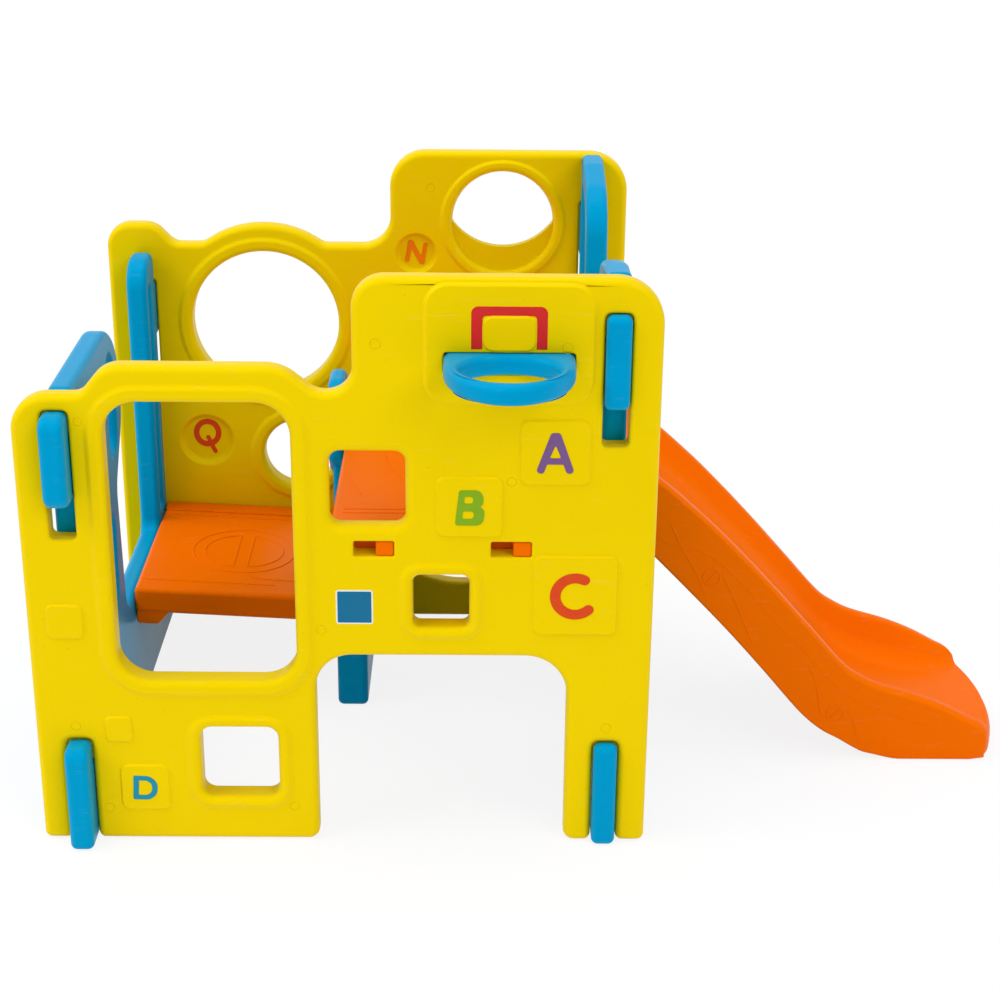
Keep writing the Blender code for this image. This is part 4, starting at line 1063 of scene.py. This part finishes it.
def letter_shapes():
    """Each letter as groups of (outline, holes), in millimetres about its middle."""
    a_outer = rounded([(-7.5, 36.5, 6), (7.5, 36.5, 6), (33.5, -36.5, 6.5), (19.5, -36.5, 6.5), (13.8, -20, 3),
                       (-13.8, -20, 3), (-19.5, -36.5, 6.5), (-33.5, -36.5, 6.5)])
    a_hole = rounded([(0, 15, 1.5), (9.5, -8.5, 1.5), (-9.5, -8.5, 1.5)])
    b_outer = rounded([(-17.6, 32.2, 5), (22.5, 32.2, 14), (24.0, 8, 11), (18.0, 1.5, 3), (26, -5, 10),
                       (23.0, -32.5, 14), (-25, -32.5, 5)])
    b_holes = [rounded([(-8, 20, 3), (6.5, 20, 5), (6, 8, 5), (-9.3, 8, 3)]),
               rounded([(-10.8, -6.5, 3), (8, -6.5, 6), (7, -20, 6), (-12.2, -20, 3)])]
    d_outer = rounded([(-21, 24.2, 3), (22.5, 24.2, 22), (21.5, -24.2, 22), (-22, -24.2, 3)])
    d_hole = rounded([(-11, 14.8, 2), (12.5, 14.8, 13), (11.5, -14.8, 13), (-11.8, -14.8, 2)])
    n_outer = rounded([(-21, -24, 4), (-11.5, -24, 4), (-11.5, 6, 1.5), (11.5, -24, 3.5), (21, -24, 4),
                       (21, 24, 4), (11.5, 24, 4), (11.5, -6, 1.5), (-11.5, 24, 3.5), (-21, 24, 4)])
    c_outer = stroke(arc_points((0, 0), 34.5, 63, 313), 9.3)
    q_ring = [Vector((x, 1.07 * y)) for x, y in circle(0, 0, 30, 80)]
    q_hole = [Vector((x, 1.09 * y)) for x, y in circle(0, 0, 18.0, 64)]
    q_tail = stroke([Vector((2, -10)), Vector((9, -21)), Vector((14, -32)), Vector((20, -41))], 4.6)
    return {
        "A": [(a_outer, [a_hole])],
        "B": [(b_outer, b_holes)],
        "C": [(c_outer, [])],
        "D": [(d_outer, [d_hole])],
        "N": [(n_outer, [])],
        "Q": [(q_ring, [q_hole])],
        "Q_tail": [(q_tail, [])],
    }


def relief(name, parts, facing, face, out, material, rise=0.0011):
    """Thin raised shapes (outline, holes) on a face; their root lies inside the plastic."""
    root = 0.0015
    thick = (rise + root) / 2
    shape = Moulding(facing, face + out * (rise - thick))
    for outer, holes in parts:
        fronts = []
        backs = []
        for i, loop in enumerate([outer] + holes):
            front, back = shape.side(loop, 1 if i else -1, thick, thick, 0.6 * rise, 0.0)
            fronts.append(front)
            backs.append(back)
        shape.fill(fronts)
        shape.fill(backs)
    piece = shape.piece(name, material)
    return piece


def make_letter(name, parts, centre, face_y, degrees, material, rise=0.0009):
    middle = Vector(centre)
    placed = []
    for outer, holes in parts:
        loops = [[middle + p for p in loop] for loop in turned([outer] + holes, degrees)]
        placed.append((loops[0], loops[1:]))
    relief(name, placed, "wall", face_y, -1, material, rise)


def centre_of(pad):
    return ((pad[0] + pad[2]) / 2, (pad[1] + pad[3]) / 2)


def make_letters():
    shapes = letter_shapes()
    purple = paint("purple_paint", (0.185, 0.090, 0.245))
    green = paint("green_paint", (0.215, 0.400, 0.006))
    tomato = paint("tomato_paint", (0.68, 0.060, 0.006))
    teal = paint("teal_paint", (0.008, 0.27, 0.40))
    amber = paint("amber_paint", (0.86, 0.22, 0.0))
    for name, turn, material in (("A", 0, purple), ("B", 0, green), ("C", 0, tomato), ("D", -2, teal)):
        make_letter(f"letter_{name}", shapes[name], centre_of(LETTER_PADS[name]), -PAD_RISE, turn, material)
    floor = WALL_BACK + CUP_DEPTH
    q_place = (CUPS[0][0], CUPS[0][1] + 0.013)
    make_letter("letter_Q", shapes["Q"], q_place, floor, -6, tomato, 0.0014)
    make_letter("letter_Q_tail", shapes["Q_tail"], q_place, floor, -6, tomato, 0.0018)
    make_letter("letter_N", shapes["N"], CUPS[1][:2], floor, -10, amber, 0.0014)


def make_arch_mark():
    """Red painted arch on the backboard, over the hoop."""
    band = rounded([(0.770, 0.9410, 0.0005), (0.770, 1.0143, 0.012),
                    (0.8955, 1.0143, 0.012), (0.8955, 0.9410, 0.0005),
                    (0.8776, 0.9410, 0.0005), (0.8776, 0.9980, 0.006),
                    (0.7888, 0.9980, 0.006), (0.7888, 0.9410, 0.0005)])
    shape = Moulding("wall", -BOARD_RISE + 0.0004)
    front, back = shape.side(band, -1, 0.0006, 0.0006, 0.0002, 0.0)
    shape.fill([front])
    shape.fill([back])
    piece = shape.piece("backboard_arch_mark", paint("red_paint", RED))


# Relief lines, centre lines in metres

LINE = 0.0015                 # half width
SIDE_CREASES = (((1.117, 0.482), (1.142, 0.461), (1.166, 0.455), (1.194, 0.449), (1.223, 0.437), (1.248, 0.416),
                 (1.281, 0.383), (1.320, 0.339), (1.362, 0.290), (1.419, 0.232), (1.453, 0.192), (1.483, 0.157),
                 (1.516, 0.135), (1.554, 0.117), (1.601, 0.097), (1.666, 0.077)),)
SIDE_STROKES = (((1.144, 0.503), (1.155, 0.480), (1.166, 0.455), (1.188, 0.417), (1.203, 0.389), (1.217, 0.354)),
                ((1.246, 0.400), (1.267, 0.357), (1.290, 0.304), (1.312, 0.255)),
                ((1.423, 0.207), (1.437, 0.177), (1.445, 0.147), (1.453, 0.102)),
                ((1.509, 0.107), (1.520, 0.081), (1.530, 0.045)),
                ((1.582, 0.051), (1.591, 0.025)))
SIDE_KNOBS = ((1.2265, 0.3925), (1.4815, 0.1025))
KNOB = 0.0165


def curve_line(points):
    """Relief line along a smooth curve through a few points, which run from left to right."""
    first, last = points[0][0], points[-1][0]
    xs = [first + (last - first) * i / 40 for i in range(41)]
    return (stroke([Vector((x, smooth_through(points, x))) for x in xs], LINE), [])


def ellipse(x, y, wide, deep, start=0, end=360, count=72):
    turns = [math.radians(start + (end - start) * i / count) for i in range(count + 1)]
    return [Vector((x + wide * math.cos(a), y + deep * math.sin(a))) for a in turns]


def oval_line(x, y, wide, deep):
    return (ellipse(x, y, wide + LINE, deep + LINE)[:-1], [ellipse(x, y, wide - LINE, deep - LINE)[:-1]])


def closed_line(loop):
    return (grown(anticlockwise(loop), LINE), [grown(anticlockwise(loop), -LINE)])


def make_side_reliefs(material):
    half = SLIDE_WIDTH / 2
    for side, out in (("near", -1), ("far", 1)):
        face = SLIDE_CENTRE + out * half
        relief(f"slide_{side}_creases", [curve_line(c) for c in SIDE_CREASES], "wall", face, out, material, 0.0004)
        relief(f"slide_{side}_strokes", [curve_line(c) for c in SIDE_STROKES], "wall", face, out, material, 0.0007)
        knobs = []
        for x, z in SIDE_KNOBS:
            knobs.append(oval_line(x, z, KNOB, KNOB))
            tip = Vector((0.55, 0.62)) * KNOB
            knobs.append((stroke([Vector((x, z)) - tip, Vector((x, z)) + tip], LINE), []))
        relief(f"slide_{side}_knobs", knobs, "wall", face, out, material, 0.0008)


def make_upper_reliefs(material):
    lines = [oval_line(0.761, 0.480, 0.160, 0.270)]
    for y in (0.131, 0.148, 2 * MID_Y - 0.148):
        lines.append((stroke([Vector((0.545, y)), Vector((0.965, y))], LINE), []))
    lines.append(curve_line(((0.547, 0.298), (0.554, 0.267), (0.564, 0.241), (0.571, 0.218))))
    relief("upper_deck_lines", lines, "floor", UPPER_DECK_Z, 1, material)


def make_lower_reliefs(material):
    """Oval with a bar, edge lines and the raised strip at the rear."""
    x, y = 0.2935, 0.7000
    lines = [oval_line(x, y, 0.1060, 0.1090)]
    for start, end in ((100, 260), (-80, 80)):
        lines.append(closed_line(ellipse(x, y, 0.0810, 0.0810, start, end, 40)))
    for y0, x1 in ((0.537, 0.372), (0.877, 0.480)):
        lines.append((stroke([Vector((0.112, y0)), Vector((x1, y0))], LINE), []))
    lines.append(curve_line(((0.311, 0.586), (0.322, 0.573), (0.340, 0.566), (0.400, 0.562), (0.480, 0.561))))
    left = LEFT_BLUE + BLUE_THICK + 0.003
    right = DIVIDER_X - 0.003
    strip = [(box(left, 0.900, right, WALL_BACK - 0.002, 0.006), [])]
    return [relief("lower_deck_lines", lines, "floor", LOWER_DECK_Z, 1, material, 0.0013),
            relief("lower_deck_rear_strip", strip, "floor", LOWER_DECK_Z, 1, material, 0.0030)]


LABEL = (0.5380, 0.4373, 0.6025, 0.5023)


def make_label():
    """Plain blue label with a white edge and nothing on it."""
    for name, inset, depth, colour in (("label_edge", 0.0, 0.0003, (0.80, 0.80, 0.76)),
                                       ("label_field", 0.0028, 0.0005, (0.004, 0.150, 0.300))):
        left, low, right, high = LABEL
        loop = box(left + inset, low + inset, right - inset, high - inset, 0.0050 - inset)
        shape = Moulding("wall", 0.0)
        for ring in shape.side(loop, -1, depth, depth, 0.0002, 0.0):
            shape.fill([ring])
        shape.piece(name, paint(name + "_print", colour))


# Stage and light


AMBIENT = 0.50
FLOOR_WHITE = 0.86            # share of the floor that shows as white, the rest keeps the shadow


def seen_rays(tree):
    """1 for what the camera sees, in the open, mirrored or through glass."""
    rays = tree.nodes.new("ShaderNodeLightPath")
    seen = Value(tree, rays.outputs["Is Camera Ray"]) + Value(tree, rays.outputs["Is Glossy Ray"])
    return seen + Value(tree, rays.outputs["Is Transmission Ray"])


def make_stage():
    mesh = bpy.data.meshes.new("studio_floor")
    reach = 30
    mesh.from_pydata([(-reach, -reach, 0), (reach, -reach, 0), (reach, reach, 0), (-reach, reach, 0)],
                     [], [(0, 1, 2, 3)])
    floor = bpy.data.objects.new("studio_floor", mesh)
    bpy.context.scene.collection.objects.link(floor)
    finish = Finish("studio_floor", 0.9, Base_Color=(0.93, 0.93, 0.93, 1))
    glow = finish.tree.nodes.new("ShaderNodeEmission")
    mix = finish.tree.nodes.new("ShaderNodeMixShader")
    feed(finish.tree, mix.inputs[0], seen_rays(finish.tree) * FLOOR_WHITE)
    finish.tree.links.new(finish.shader.outputs[0], mix.inputs[1])
    finish.tree.links.new(glow.outputs[0], mix.inputs[2])
    finish.tree.links.new(mix.outputs[0], finish.tree.nodes["Material Output"].inputs["Surface"])
    mesh.materials.append(finish.material)


def softbox(name, azimuth, elevation, strength, spread):
    """Large soft lamp far away, so that the floor is evenly lit."""
    data = bpy.data.lights.new(name, "SUN")
    data.energy = strength
    data.angle = math.radians(spread)
    light = bpy.data.objects.new(name, data)
    bpy.context.scene.collection.objects.link(light)
    turn = math.radians(azimuth)
    rise = math.radians(elevation)
    place = Vector((math.sin(turn) * math.cos(rise), -math.cos(turn) * math.cos(rise), math.sin(rise)))
    light.rotation_euler = place.to_track_quat("Z", "Y").to_euler()
    light.location = place * 6


def make_light():
    world = bpy.data.worlds.new("studio")
    bpy.context.scene.world = world
    world.use_nodes = True
    tree = world.node_tree
    background = tree.nodes["Background"]
    background.inputs["Color"].default_value = (1, 1, 1, 1)
    feed(tree, background.inputs["Strength"], AMBIENT + seen_rays(tree) * (1 - AMBIENT))
    softbox("left_softbox", -75, 45, 1.35, 40)
    softbox("right_softbox", 40, 35, 0.70, 30)
    softbox("top_softbox", 0, 88, 0.85, 40)


make_camera()
yellow = moulded_plastic("yellow_moulded_plastic", YELLOW, (0.808, 0.578, 0.0), (1.0, 0.80, 0.12), 0.14)
blue = moulded_plastic("blue_moulded_plastic", BLUE, (0.0, 0.290, 0.56), (0.05, 0.80, 1.0), 0.10)
orange = moulded_plastic("orange_moulded_plastic", ORANGE, (0.845, 0.139, 0.0), (1.0, 0.38, 0.05), 0.06)
make_front_wall(yellow)
make_rear_wall(yellow)
make_climbing_side(blue)
make_slide_side(blue)
make_divider(blue)
make_upper_deck(orange)
make_upper_reliefs(orange)
make_lower_deck(orange)
make_slide(orange)
make_side_reliefs(orange)
make_hoop(blue)
make_letters()
make_arch_mark()
make_label()
make_stage()
make_light()
bpy.context.scene.view_settings.view_transform = "Standard"
